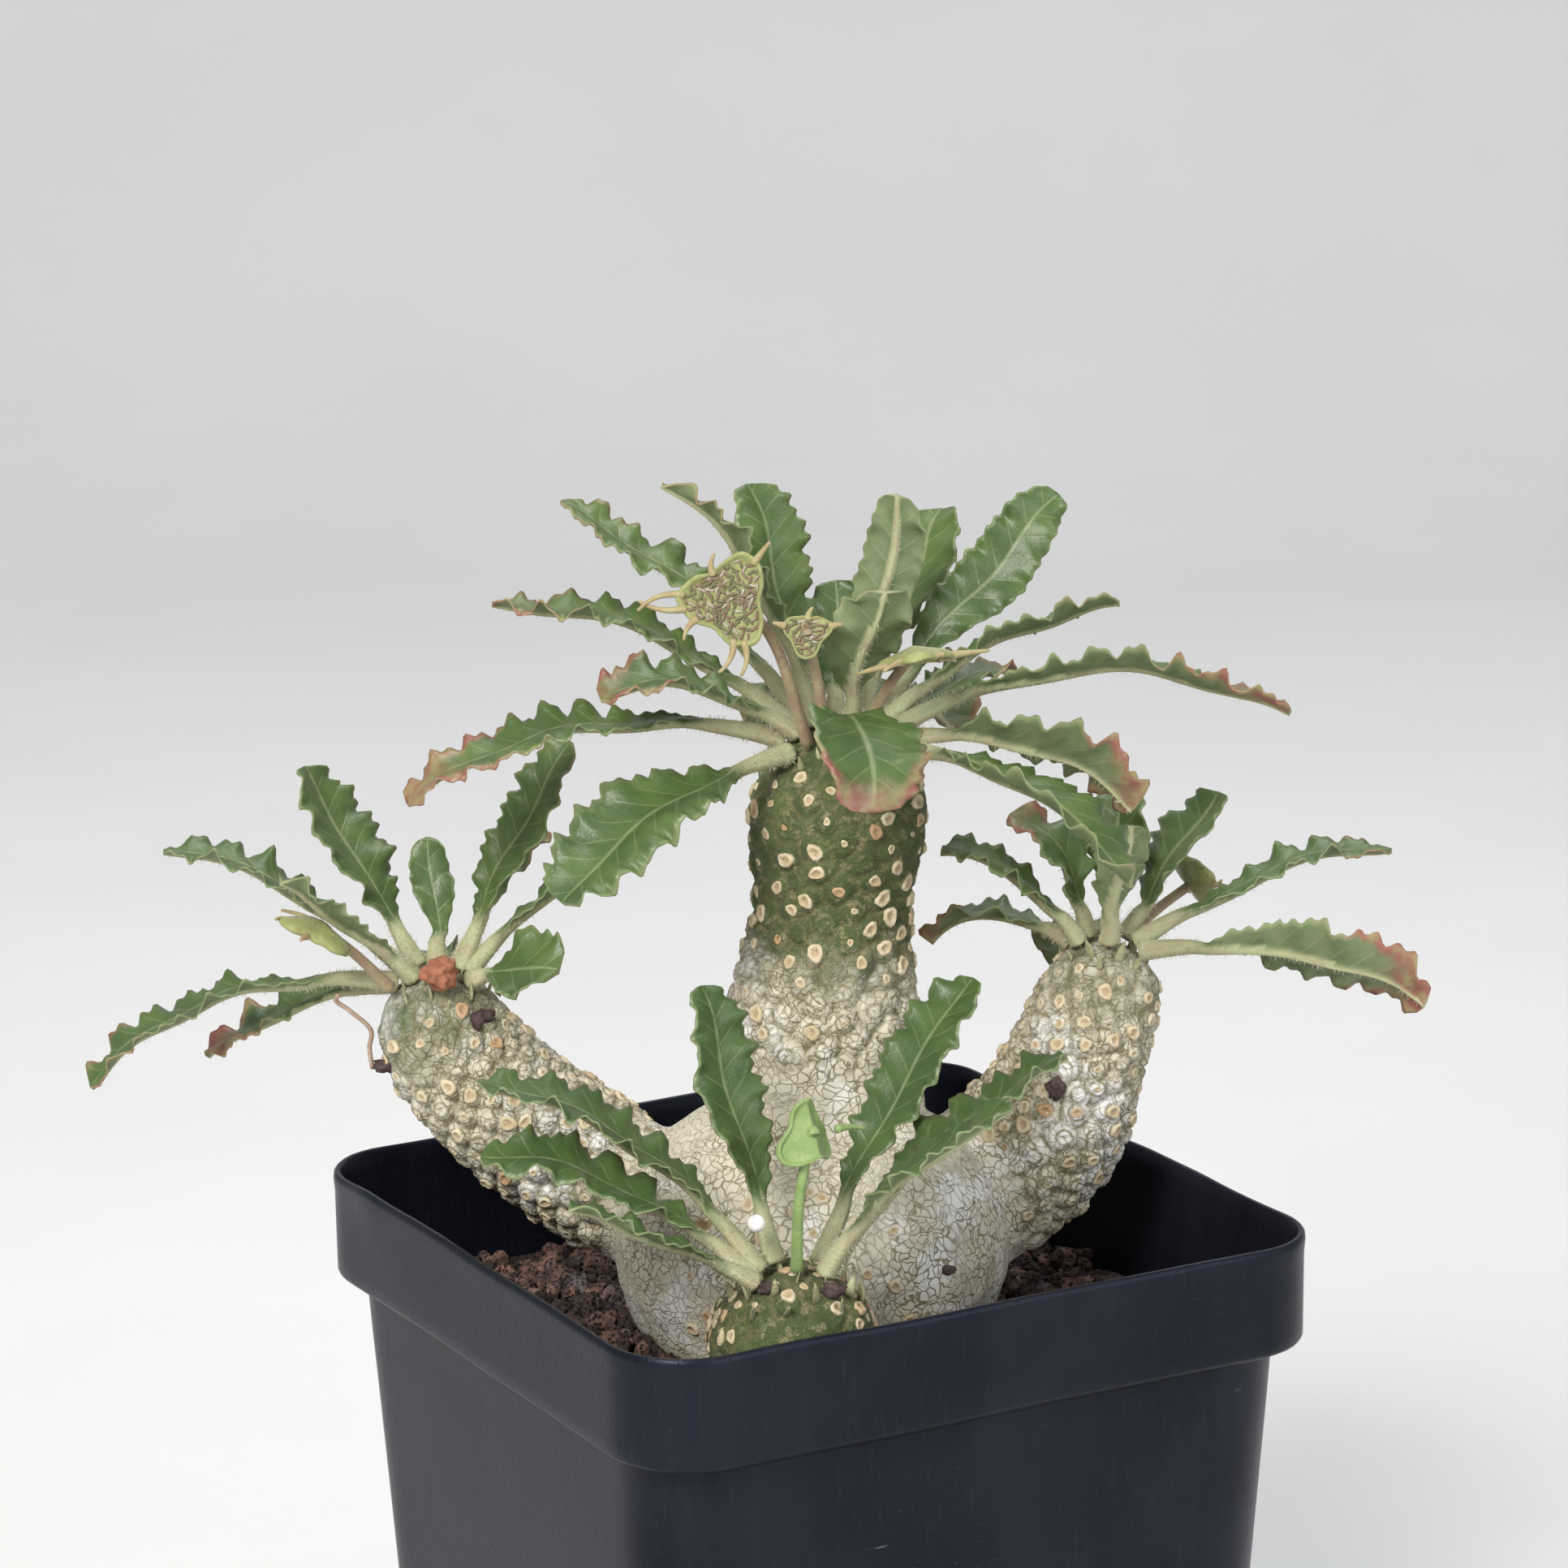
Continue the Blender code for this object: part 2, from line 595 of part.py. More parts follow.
def make_flower(flower, collection, cutters, parent):
    """One flower head: its disc, arms and stalk, joined."""
    frame = flower_frame(flower)
    disc = flower_disc(flower, collection, parent)
    disc.matrix_local = frame
    for angle, length in flower.arms:
        arm = mesh_object(flower.name + "_arm", flower_arm(flower, angle, length), cutters, None, parent)
        arm.matrix_local = frame
        hide_cutter(arm)
        boolean(disc, arm, "UNION")
    route = [(*point, FLOWER_STALK_RADIUS) for point in stalk_points(flower)]
    stations = [(point.xyz, point.w) for point in smooth_route(route, STALK_SAMPLES)]
    tube = tube_mesh("stalk", stations, STALK_SIDES)
    stalk = mesh_object(flower.name + "_stalk", tube, cutters, None, parent)
    hide_cutter(stalk)
    boolean(disc, stalk, "UNION")
    return disc


def make_seed(collection, parent):
    """The one pale seed caught between the leaf stalks of the front stub."""
    bm = bmesh.new()
    bmesh.ops.create_uvsphere(bm, u_segments=SEED_SEGMENTS, v_segments=SEED_RINGS, radius=SEED_RADIUS)
    seed = mesh_object("seed", mesh_from(bm, "seed"), collection, "seed", parent)
    seed.location = millimetres(SEED_PLACE)
    return seed


def make_dried_bits(collection, parent):
    """The dried flower stalk and the shrivelled flower on the left arm."""
    route = [(*millimetres(point), DRY_STALK_RADIUS) for point in DRY_STALK]
    stations = [(point.xyz, point.w) for point in smooth_route(route, STALK_SAMPLES)]
    mesh_object("dry_stalk_left", tube_mesh("dry_stalk_left", stations, STALK_SIDES), collection,
                "dry_stalk", parent)
    bm = bmesh.new()
    bmesh.ops.create_icosphere(bm, subdivisions=DRY_FLOWER_LEVEL, radius=DRY_FLOWER_RADIUS)
    dry_flower = mesh_object("dry_flower_left", mesh_from(bm, "dry_flower_left"), collection,
                             "dry_stalk", parent)
    dry_flower.location = millimetres(DRY_FLOWER_PLACE)


def main():
    for obj in list(bpy.data.objects):
        bpy.data.objects.remove(obj)
    collection = bpy.data.collections.new(COLLECTION_NAME)
    cutters = bpy.data.collections.new(CUTTER_COLLECTION_NAME)
    bpy.context.scene.collection.children.link(collection)
    bpy.context.scene.collection.children.link(cutters)
    plant = bpy.data.objects.new("plant_frame", None)
    collection.objects.link(plant)
    plant.location = (0.0, 0.0, soil_top() - BULB_BURIED + BULB_RADIUS)
    plant.rotation_euler = (0.0, 0.0, PLANT_TURN)

    make_pot(collection, cutters)
    plant_cutter = grown_stems("plant_cutter", cutters, plant, grow=FIT_GAP)
    hide_cutter(plant_cutter)
    make_soil(collection, plant_cutter)
    caudex = grown_stems("caudex", cutters, plant)
    cutters.objects.unlink(caudex)
    collection.objects.link(caudex)
    for leaf in LEAVES:
        make_leaf(leaf, collection, plant)
    for flower in FLOWERS:
        make_flower(flower, collection, cutters, plant)
    make_seed(collection, plant)
    make_dried_bits(collection, plant)


main()
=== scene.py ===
"""Potted dorstenia: the looks of the plant, its soil and its square nursery pot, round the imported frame."""

import math
import random

import bmesh
import bpy
import numpy as np
from mathutils import Matrix, Vector, noise
from mathutils.bvhtree import BVHTree


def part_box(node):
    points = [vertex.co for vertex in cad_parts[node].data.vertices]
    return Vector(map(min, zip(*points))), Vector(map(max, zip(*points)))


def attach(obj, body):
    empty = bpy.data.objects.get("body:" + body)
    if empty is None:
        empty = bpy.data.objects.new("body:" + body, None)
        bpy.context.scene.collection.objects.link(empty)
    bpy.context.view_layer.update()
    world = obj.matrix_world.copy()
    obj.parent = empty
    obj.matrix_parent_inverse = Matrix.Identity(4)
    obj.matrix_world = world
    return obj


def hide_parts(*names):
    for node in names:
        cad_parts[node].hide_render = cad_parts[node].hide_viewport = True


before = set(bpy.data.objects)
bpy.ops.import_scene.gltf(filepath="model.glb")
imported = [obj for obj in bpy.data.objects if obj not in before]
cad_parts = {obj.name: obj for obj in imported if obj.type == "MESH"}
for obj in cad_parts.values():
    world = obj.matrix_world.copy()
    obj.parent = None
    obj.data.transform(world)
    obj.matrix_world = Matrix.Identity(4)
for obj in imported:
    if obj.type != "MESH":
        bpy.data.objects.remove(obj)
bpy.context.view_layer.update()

bl_info = {
    "name": "Potted dorstenia",
    "version": (1, 0, 0),
    "blender": (4, 5, 0),
    "location": "3D View > Sidebar > Dorstenia",
    "description": "Builds the looks of a caudex plant in a square nursery pot",
    "category": "Add Mesh",
}

MM = 0.001
BODY = "root"

# The pot and the soil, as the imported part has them.
POT_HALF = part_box("pot")[1].x
POT_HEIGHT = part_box("pot")[1].z
POT_CORNER = 10 * MM
POT_WALL = 1 * MM
POT_TAPER = 0.055
BAND_HEIGHT = 14 * MM
BAND_STEP = 2.7 * MM
STEP_RISE = 1.5 * MM
BAND_STRAIGHT = 11.6 * MM
FOOT_CHAMFER = 1.5 * MM
DRAIN_RADIUS = 4.5 * MM
DRAIN_OFFSET = 22 * MM
SOIL_TOP = POT_HEIGHT - 16 * MM
SOIL_BUMP = 0.9 * MM
# Layers of grain: name, share of the grain size, spacing, least size, lift and seed. Millimetres.
GRAIN_LAYERS = (
    ("coarse", 1.0, 3.5, 0.5, 0.2, 3), ("middle", 0.55, 2.0, 0.5, 0.7, 8), ("fine", 0.3, 1.5, 0.4, 0.9, 21),
)

# The plant's own frame: u to its right, w away from its front, z up from the bulb's centre.
PLANT_TURN = Matrix.Rotation(math.radians(-29), 4, "Z")
PLANT = Matrix.Translation((0, 0, SOIL_TOP + 12 * MM)) @ PLANT_TURN
BULB_CENTRE = Vector((0.3, -2.0, 0)) * MM
BULB_RADIUS = 23.5 * MM
TRUNK = ((0, 0, 0, 17), (1, 0, 14, 14), (2.3, 0, 30, 10.6), (3.2, 0, 42, 9.6), (3.9, 0, 51, 10.3))
LEFT_ARM = (
    (-12, 1, 0, 7.8), (-24.5, 3.5, 5.5, 8.8), (-34.5, 4, 13, 8.2), (-41, 4, 19.5, 7.8), (-43.5, 4, 23.5, 7.5)
)
RIGHT_ARM = (
    (12, 2, 0, 9), (23.5, 6, 5, 9.8), (29, 6, 11.5, 9.3), (32.5, 6, 19.5, 7.7), (35.2, 6, 26.5, 6.8)
)
FRONT_STUB = ((-2, -12, -5, 9), (-2, -27, -5, 9.6), (-1.8, -35, -3, 9.5))
STEMS = {"main": TRUNK, "left": LEFT_ARM, "right": RIGHT_ARM, "front": FRONT_STUB}

# By stem, as shares of its length: where its skin turns young, and where old leaf scars begin and end.
YOUNG_SPANS = {"main": (0.4, 0.84), "left": (0.74, 1.2), "right": (0.78, 1.2), "front": (0.15, 0.6)}
SCAR_SPANS = {"main": (0.2, 1.12), "left": (0.3, 1.1), "right": (0.3, 1.1), "front": (0.3, 1.3)}
SCAR_SPACING = {"main": 3.3, "left": 2.9, "right": 2.9, "front": 2.9}
# By stem: the share from which scars are cream, how many of those stay, and their size in millimetres.
CREAM_SCARS = {
    "main": (0.62, 0.86, 0.92), "left": (0.42, 0.7, 0.85),
    "right": (0.42, 0.7, 0.85), "front": (0.3, 0.9, 0.95),
}
OLD_SCARS_KEPT = 0.22
SCALE_COUNTS = {"main": 46, "left": 24, "right": 22, "front": 22}

# Leaves by head: heading, rise, droop, length, width, swing, roll, blush. Degrees and millimetres.
LEAVES = {
    "main": (
        (190, 16, 51, 46, 8, 0, 0, 0.75), (220, -5, 35, 36, 12, 0, 0, 0.15),
        (278, 42, 125, 24, 13, 0, 0, 0.7),
        (320, 5, 50, 38, 14, 0, 0, 0.2), (350, 10, 55, 30, 12, 0, -25, 0.7),
        (350, 31, 60, 49, 9, 0, -10, 0.75),
        (24, 50, 10, 35, 8, 0, 50, 0.1), (357, 46, 42, 32, 7, 0, 0, 0.25), (35, 25, 30, 20, 9, 0, 0, 0.6),
        (292, 68, 15, 20, 9, 0, 0, 0.2), (355, 80, 0, 27, 7, 0, -80, 0.1), (60, 49, 10, 31, 11, 0, 0, 0.1),
        (175, 42, 44, 39, 8, 0, 0, 0.45), (156, 53, 35, 40, 7, 0, 0, 0.3), (200, 76, 38, 35, 8, 0, 0, 0.3),
        (132, 67, 5, 29, 9, 0, 0, 0.1), (202, 38, 50, 26, 10, 0, 0, 0.6), (92, 60, 0, 17, 7, 0, 0, 0.2),
        (100, 10, 50, 44, 10, 0, 0, 0.3), (70, 10, 50, 40, 10, 0, 0, 0.5),
    ),
    "left": (
        (175, 42, 33, 33, 8, 0, 0, 0.2), (146, 54, 5, 28, 11, 0, 0, 0.1), (213, 45, 15, 22, 8, 0, 0, 0.2),
        (190, 10, 58, 40, 8, 0, 0, 0.4), (172, -8, 35, 25, 7, 0, 0, 1.0), (10, 68, 12, 30, 8, 0, 40, 0.3),
        (100, 78, 5, 15, 5, 0, 0, 0.1), (5, 48, 20, 27, 6, 0, 0, 0.3), (52, 50, 20, 21, 5, 0, 0, 0.6),
        (330, 25, 30, 13, 10, 0, 35, 0.1), (95, 0, 45, 30, 8, 0, 0, 0.3),
    ),
    "right": (
        (188, 57, 50, 21, 7, 0, 0, 0.2), (160, 30, 75, 19, 9, 0, 0, 0.7), (160, 80, 50, 18, 9, 0, 0, 0.6),
        (30, 50, 0, 21, 12, 0, 0, 0.0), (70, 65, 5, 18, 8, 0, 0, 0.1), (5, 32, 27, 33, 6, 0, 0, 0.3),
        (345, 10, 38, 35, 10, 0, -45, 0.8), (290, 75, 5, 16, 6, 0, 0, 0.1), (95, 0, 45, 30, 8, 0, 0, 0.3),
    ),
    "front": (
        (175, 55, 46, 39, 10, 0, 0, 0.05), (183, 42, 34, 34, 8, 0, 0, 0.1), (206, 34, 15, 25, 6, 0, 0, 0.05),
        (140, 72, 5, 32, 8.6, 0, 0, 0.0), (36, 62, 20, 37, 9, 0, 0, 0.0), (9, 55, 34, 36, 9, 0, 0, 0.05),
        (342, 60, 38, 30, 9, 0, 0, 0.1),
    ),
}
GOLDEN_ANGLE = 137.5
ANY_TURN = 6.28
FOLD = math.radians(14)
PETIOLE_SHARE = 0.16
SEAT_LOW = 48
SEAT_RISE = 0.35
SEAT_GAP = 0.6 * MM
ROLL_SHARE = 0.4
STALK_END = 0.1
VEIN_GAP = 3.1 * MM
VEIN_LEAN = 0.75
RIB_REACH = 4 * MM
LEAF_STEP = 0.42 * MM

# Flowers: stalk points, where the face looks, radius, turn of the lobes, and arms as turn and length.
FLOWERS = {
    "main_01": (
        ((0.3, -5.2, 59.9), (-2.8, -8, 71), (-5.8, -9.4, 76), (-8.5, -9.6, 77.7)), (262, 8), 5.0, 60,
        ((55, 2.5), (120, 1.5), (174, 4.5), (192, 4.5), (212, 2), (278, 3), (292, 3)),
    ),
    "main_02": (
        ((2.6, -6.8, 59.4), (1.6, -9, 67.5), (0.4, -10.6, 73.5)), (265, 35), 2.7, 30,
        ((20, 0.8), (90, 0.8), (160, 0.8)),
    ),
    "main_03": (
        ((6.8, -4, 60.8), (9.5, -8, 67), (12.5, -11, 71.5)), (305, -72), 4.3, 0,
        ((15, 4), (345, 3.5), (150, 3), (200, 3), (90, 1)),
    ),
    "left_01": (
        ((-49, 0, 29.9), (-53, -1.5, 34.5), (-57, -2.5, 38)), (185, -62), 4.2, 60,
        ((170, 5), (195, 4.5), (260, 2), (20, 1.5), (90, 1)),
    ),
    "right_01": (
        ((38.5, 10, 32.9), (43, 14, 35.5), (46.8, 15, 38)), (30, 25), 3.6, 30,
        ((10, 3.5), (60, 2), (330, 2), (180, 1.5)),
    ),
    "front_01": (
        ((-1.6, -37, 7), (-1.2, -38.5, 16), (0.2, -38.5, 23)), (312, 20), 3.6, 90,
        ((0, 3), (90, 1.2), (180, 1)),
    ),
}
STALK_RADIUS = 0.6 * MM
YOUNG_ARM_LEAST = 1.5
SEED_PLACE = (-6, -37.4, 12.6)
DRY_STALK = (
    (-51.6, 2, 19.5), (-51.9, 2, 22), (-51.7, 2, 24.3),
    (-54.2, 2, 26.7), (-55.6, 1.6, 27.9), (-55.3, 1.2, 28.8),
)
DRY_FLOWER_PLACE = (-43, -1.6, 32)
# Dark husks on the stems: a point beside the stem and the radii.
HUSKS = (
    ((-51.9, 0.8, 19.2), (1.6, 1.1, 0.8)), ((-36.3, -2.6, 28.2), (1.3, 0.9, 0.8)),
    ((-37.6, -3.2, 26.9), (0.8, 0.8, 1.2)), ((2.6, -38.5, 5.4), (1.5, 1.0, 0.9)),
    ((-4.6, -38.0, 4.6), (1.1, 0.9, 0.7)), ((15.9, -19.7, 1.0), (0.9, 0.5, 0.6)),
    ((29.2, -2.9, 17.5), (1.2, 0.7, 1.4)),
)
HUSK_LIFT = 0.3 * MM

# Floor, lights and camera, in metres. The camera's axes are the ones it has before its roll.
FLOOR_HALF, FLOOR_FRONT, FLOOR_TOP = 3.0, -2.2, 2.4
SWEEP_START, SWEEP_RADIUS = 0.9, 0.5
SKY_COLOUR, SKY_STRENGTH = (0.93, 0.95, 1.0, 1), 0.42
LIGHT_AIM = Vector((0, 0, 0.1))
CAMERA_BACK = Vector((-0.4730, -0.8533, 0.2195))
CAMERA_RIGHT = Vector((0.8746, -0.4848, 0.0))
CAMERA_UP = Vector((0.1064, 0.1920, 0.9756))
CAMERA_ROLL = math.radians(-0.576)
CAMERA_DISTANCE = 0.557
CAMERA_AIM = (-0.00293, 0.0488, 0.090)


# ---------------------------------------------------------------- settings


class PotSettings(bpy.types.PropertyGroup):
    """Finish of the nursery pot."""

    colour: bpy.props.FloatVectorProperty(
        name="Plastic", description="Colour of the pot's plastic", subtype="COLOR", size=3,
        default=(0.0035, 0.004, 0.0075), min=0, max=1,
    )
    roughness: bpy.props.FloatProperty(
        name="Roughness", description="How dull the plastic is", subtype="FACTOR", default=0.34, min=0, max=1
    )
    wave: bpy.props.FloatProperty(
        name="Rim wave", description="How far the thin rim bows out of line", subtype="DISTANCE",
        unit="LENGTH", default=0.45 * MM, min=0,
    )


class SoilSettings(bpy.types.PropertyGroup):
    """Size and colour of the gritty soil."""

    grain: bpy.props.FloatProperty(
        name="Grain", description="Radius of a coarse grain", subtype="DISTANCE", unit="LENGTH",
        default=2.3 * MM, min=0.5 * MM,
    )
    light: bpy.props.FloatVectorProperty(
        name="Light grain", description="Colour of the paler grains", subtype="COLOR", size=3,
        default=(0.24, 0.13, 0.095), min=0, max=1,
    )
    dark: bpy.props.FloatVectorProperty(
        name="Dark grain", description="Colour of the darker grains", subtype="COLOR", size=3,
        default=(0.04, 0.025, 0.022), min=0, max=1,
    )


class BarkSettings(bpy.types.PropertyGroup):
    """Relief and colour of the swollen stem."""

    relief: bpy.props.FloatProperty(
        name="Relief", description="Height of the scar plates on the stems", subtype="DISTANCE",
        unit="LENGTH", default=0.6 * MM, min=0,
    )
    old: bpy.props.FloatVectorProperty(
        name="Old bark", description="Colour of the corky old bark", subtype="COLOR", size=3,
        default=(0.58, 0.53, 0.41), min=0, max=1,
    )
    young: bpy.props.FloatVectorProperty(
        name="Young bark", description="Colour of the green young bark", subtype="COLOR", size=3,
        default=(0.068, 0.102, 0.028), min=0, max=1,
    )


class LeafSettings(bpy.types.PropertyGroup):
    """Shape and colour of the leaves and flowers."""

    ruffle: bpy.props.FloatProperty(
        name="Ruffle", description="Height of the waves along a leaf's margin", subtype="DISTANCE",
        unit="LENGTH", default=1.1 * MM, min=0,
    )
    green: bpy.props.FloatVectorProperty(
        name="Leaf", description="Colour of a leaf's upper side", subtype="COLOR", size=3,
        default=(0.047, 0.086, 0.02), min=0, max=1,
    )
    pale: bpy.props.FloatVectorProperty(
        name="Vein", description="Colour of the midrib and the leaf stalk", subtype="COLOR", size=3,
        default=(0.37, 0.41, 0.22), min=0, max=1,
    )
    blush: bpy.props.FloatVectorProperty(
        name="Blush", description="Colour of an old leaf's tip and margin", subtype="COLOR", size=3,
        default=(0.25, 0.08, 0.065), min=0, max=1,
    )


class StageSettings(bpy.types.PropertyGroup):
    """Floor, light and camera."""

    floor: bpy.props.FloatVectorProperty(
        name="Floor", description="Colour of the floor", subtype="COLOR", size=3,
        default=(0.76, 0.76, 0.75), min=0, max=1,
    )
    key: bpy.props.FloatProperty(
        name="Key", description="Power of the main light", unit="POWER", default=15.0
    )
    lens: bpy.props.FloatProperty(
        name="Lens", description="Focal length in millimetres", subtype="DISTANCE_CAMERA", default=107.5
    )


# ---------------------------------------------------------------- small tools


def direction(heading, elevation):
    """Unit vector in the plant's frame from a heading and an elevation in degrees."""
    h, e = math.radians(heading), math.radians(elevation)
    return Vector((math.cos(h) * math.cos(e), math.sin(h) * math.cos(e), math.sin(e)))


def smooth_step(low, high, value):
    """0 below low, 1 above high, and a smooth rise between them."""
    t = np.clip((value - low) / (high - low), 0.0, 1.0)
    return t * t * (3 - 2 * t)


def stem_points(head):
    """A stem's points and radii in metres, in the plant's frame."""
    return [(Vector(row[:3]) * MM, row[3] * MM) for row in STEMS[head]]


def smooth_route(points, steps):
    """Points on a smooth curve through the given ones."""
    route = []
    for i in range(len(points) - 1):
        before, start = points[max(i - 1, 0)], points[i]
        end, after = points[i + 1], points[min(i + 2, len(points) - 1)]
        for step in range(steps):
            t = step / steps
            route.append(
                0.5 * (2 * start + (end - before) * t + (2 * before - 5 * start + 4 * end - after) * t * t
                       + (3 * start - before - 3 * end + after) * t ** 3)
            )
    return route + [points[-1]]


def new_object(name, verts, faces, smooth=True):
    """Mesh object in the scene from plain lists, with its place in its mesh."""
    mesh = bpy.data.meshes.new(name)
    mesh.from_pydata([tuple(v) for v in verts], [], faces)
    mesh.update()
    if smooth:
        mesh.shade_smooth()
    obj = bpy.data.objects.new(name, mesh)
    bpy.context.scene.collection.objects.link(obj)
    return obj


def put_attribute(mesh, name, values):
    """Store one number per vertex."""
    layer = mesh.attributes.new(name, "FLOAT", "POINT")
    layer.data.foreach_set("value", np.asarray(values, dtype=np.float32))


def join(name, *objs):
    """One object from several, with their materials kept."""
    with bpy.context.temp_override(
        active_object=objs[0], selected_objects=objs, selected_editable_objects=objs, object=objs[0]
    ):
        bpy.ops.object.join()
    objs[0].name = name
    objs[0].data.name = name
    return objs[0]


def evaluated(obj):
    """Turn what an object's modifiers make into its plain mesh."""
    bpy.context.view_layer.update()
    graph = bpy.context.evaluated_depsgraph_get()
    mesh = bpy.data.meshes.new_from_object(
        obj.evaluated_get(graph), preserve_all_data_layers=True, depsgraph=graph
    )
    obj.modifiers.clear()
    old = obj.data
    obj.data = mesh
    bpy.data.meshes.remove(old)
    return obj


def packed_copy(name, node):
    """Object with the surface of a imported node, its doubled points merged."""
    copy = new_object(name, [], [])
    mesh = bmesh.new()
    mesh.from_mesh(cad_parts[node].data)
    bmesh.ops.remove_doubles(mesh, verts=mesh.verts, dist=1e-6)
    mesh.to_mesh(copy.data)
    mesh.free()
    return copy


def dress(obj, finish):
    """Give an object one material and nothing else."""
    obj.data.materials.clear()
    obj.data.materials.append(finish)
    return obj


def settle(obj, slot, *nodes):
    """Hand a finished piece to the frame."""
    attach(obj, BODY)
    if nodes:
        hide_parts(*nodes)


def around(sides):
    """Turns of evenly spaced points round a circle."""
    return [2 * math.pi * k / sides for k in range(sides)]


def ring_faces(rings, sides, start=0, inward=False):
    """Faces between neighbouring rings with as many points each; inward turns them over."""
    faces = []
    for i in range(rings - 1):
        for k in range(sides):
            a, b = start + i * sides + k, start + i * sides + (k + 1) % sides
            faces.append((a, a + sides, b + sides, b) if inward else (a, b, b + sides, a + sides))
    return faces


def tube(points, radii, sides=12):
    """Closed tube with rounded ends, as vertices and faces."""
    verts = []
    side = None
    count = len(points)
    for i, (point, radius) in enumerate(zip(points, radii)):
        ahead = points[min(i + 1, count - 1)] - points[max(i - 1, 0)]
        ahead.normalize()
        if side is None:
            side = ahead.orthogonal().normalized()
        side = (side - ahead * side.dot(ahead)).normalized()
        other = ahead.cross(side)
        for turn in around(sides):
            verts.append(point + (side * math.cos(turn) + other * math.sin(turn)) * radius)
    faces = ring_faces(count, sides)
    first, last = len(verts), len(verts) + 1
    verts.append(points[0] + (points[0] - points[1]).normalized() * radii[0] * 0.5)
    verts.append(points[-1] + (points[-1] - points[-2]).normalized() * radii[-1] * 0.6)
    end = (count - 1) * sides
    for k in range(sides):
        faces.append((first, (k + 1) % sides, k))
        faces.append((last, end + k, end + (k + 1) % sides))
    return verts, faces


# ---------------------------------------------------------------- node trees


class Tree:
    """Adds nodes to a node tree, links sockets and sets plain values."""

    def __init__(self, tree):
        self.tree = tree

    def link(self, source, target):
        """Join an output socket to an input socket."""
        self.tree.links.new(source, target)

    def add(self, kind, inputs=None, **settings):
        """Node of a kind with its settings, each input linked or set."""
        node = self.tree.nodes.new(kind)
        for key, value in settings.items():
            setattr(node, key, value)
        for key, value in (inputs or {}).items():
            if isinstance(value, bpy.types.NodeSocket):
                self.link(value, node.inputs[key])
            else:
                node.inputs[key].default_value = value
        return node

    def math(self, operation, a, b=0.0):
        """Result of one sum on two values."""
        return self.add("ShaderNodeMath", {0: a, 1: b}, operation=operation).outputs[0]

    def plus(self, a, b):
        """The first value and the second."""
        return self.math("ADD", a, b)

    def minus(self, a, b):
        """The first value less the second."""
        return self.math("SUBTRACT", a, b)

    def times(self, a, b):
        """The first value by the second."""
        return self.math("MULTIPLY", a, b)

    def larger(self, a, b):
        """The larger of two values."""
        return self.math("MAXIMUM", a, b)

    def noise(self, vector, scale, detail=3.0, roughness=0.55):
        """Soft noise between 0 and 1."""
        values = {"Vector": vector, "Scale": scale, "Detail": detail, "Roughness": roughness}
        return self.add("ShaderNodeTexNoise", values).outputs["Fac"]

    def jitter(self, value, place, scale, amount):
        """A value made uneven by noise, as often above as below it."""
        return self.plus(value, self.times(self.minus(self.noise(place, scale), 0.5), amount))

    def span(self, value, low, high, to_low=0.0, to_high=1.0):
        """Smooth map of a value from one range to another."""
        values = {0: value, 1: low, 2: high, 3: to_low, 4: to_high}
        return self.add("ShaderNodeMapRange", values, interpolation_type="SMOOTHSTEP").outputs[0]

    def wear(self, tone, low, high):
        """Roughness that follows a tone's mask."""
        return self.span(tone["Mask"], 0.0, 1.0, low, high)

    def mix(self, share, a, b):
        """Colour between two others."""
        return self.add("ShaderNodeMix", {0: share, 6: a, 7: b}, data_type="RGBA").outputs[2]

    def attribute(self, name):
        """A number that the mesh carries."""
        return self.add("ShaderNodeAttribute", attribute_name=name).outputs["Fac"]

    def stored(self, name, kind="FLOAT"):
        """A value that the geometry carries."""
        values = {"Name": name}
        return self.add("GeometryNodeInputNamedAttribute", values, data_type=kind).outputs[0]

    def vector_math(self, operation, a, b):
        """Result of one sum on vectors; scaling takes a number as its second value."""
        second = 3 if operation == "SCALE" else 1
        return self.add("ShaderNodeVectorMath", {0: a, second: b}, operation=operation).outputs[0]


def rgba(colour, strength=1.0):
    """Opaque colour from three numbers, made darker or lighter."""
    return tuple(strength * part for part in colour[:3]) + (1.0,)


def new_group(name, inputs, outputs, kind="ShaderNodeTree"):
    """Node group with its sockets, its tree helper, and its input and output nodes."""
    tree = bpy.data.node_groups.new(name, kind)
    for label, socket_kind, value in inputs:
        socket = tree.interface.new_socket(label, in_out="INPUT", socket_type=socket_kind)
        if value is not None:
            socket.default_value = value
    for label, socket_kind in outputs:
        tree.interface.new_socket(label, in_out="OUTPUT", socket_type=socket_kind)
    helper = Tree(tree)
    return helper, helper.add("NodeGroupInput").outputs, helper.add("NodeGroupOutput").inputs


COLOUR, FLOAT, VECTOR = "NodeSocketColor", "NodeSocketFloat", "NodeSocketVector"


def make_tone_group():
    """Two tones mixed by soft blotches and a finer grain."""
    group, given, result = new_group(
        "uneven tone",
        (("Vector", VECTOR, None), ("Tone A", COLOUR, None), ("Tone B", COLOUR, None),
         ("Blotch Scale", FLOAT, 120.0), ("Grain Scale", FLOAT, 900.0), ("Grain Share", FLOAT, 0.35)),
        (("Colour", COLOUR), ("Mask", FLOAT)),
    )
    blotch = group.span(group.noise(given["Vector"], given["Blotch Scale"]), 0.35, 0.65)
    grain = group.noise(given["Vector"], given["Grain Scale"], 2.0)
    share = given["Grain Share"]
    mask = group.plus(group.times(grain, share), group.times(blotch, group.minus(1.0, share)))
    group.link(group.mix(mask, given["Tone A"], given["Tone B"]), result["Colour"])
    group.link(mask, result["Mask"])
    return group.tree


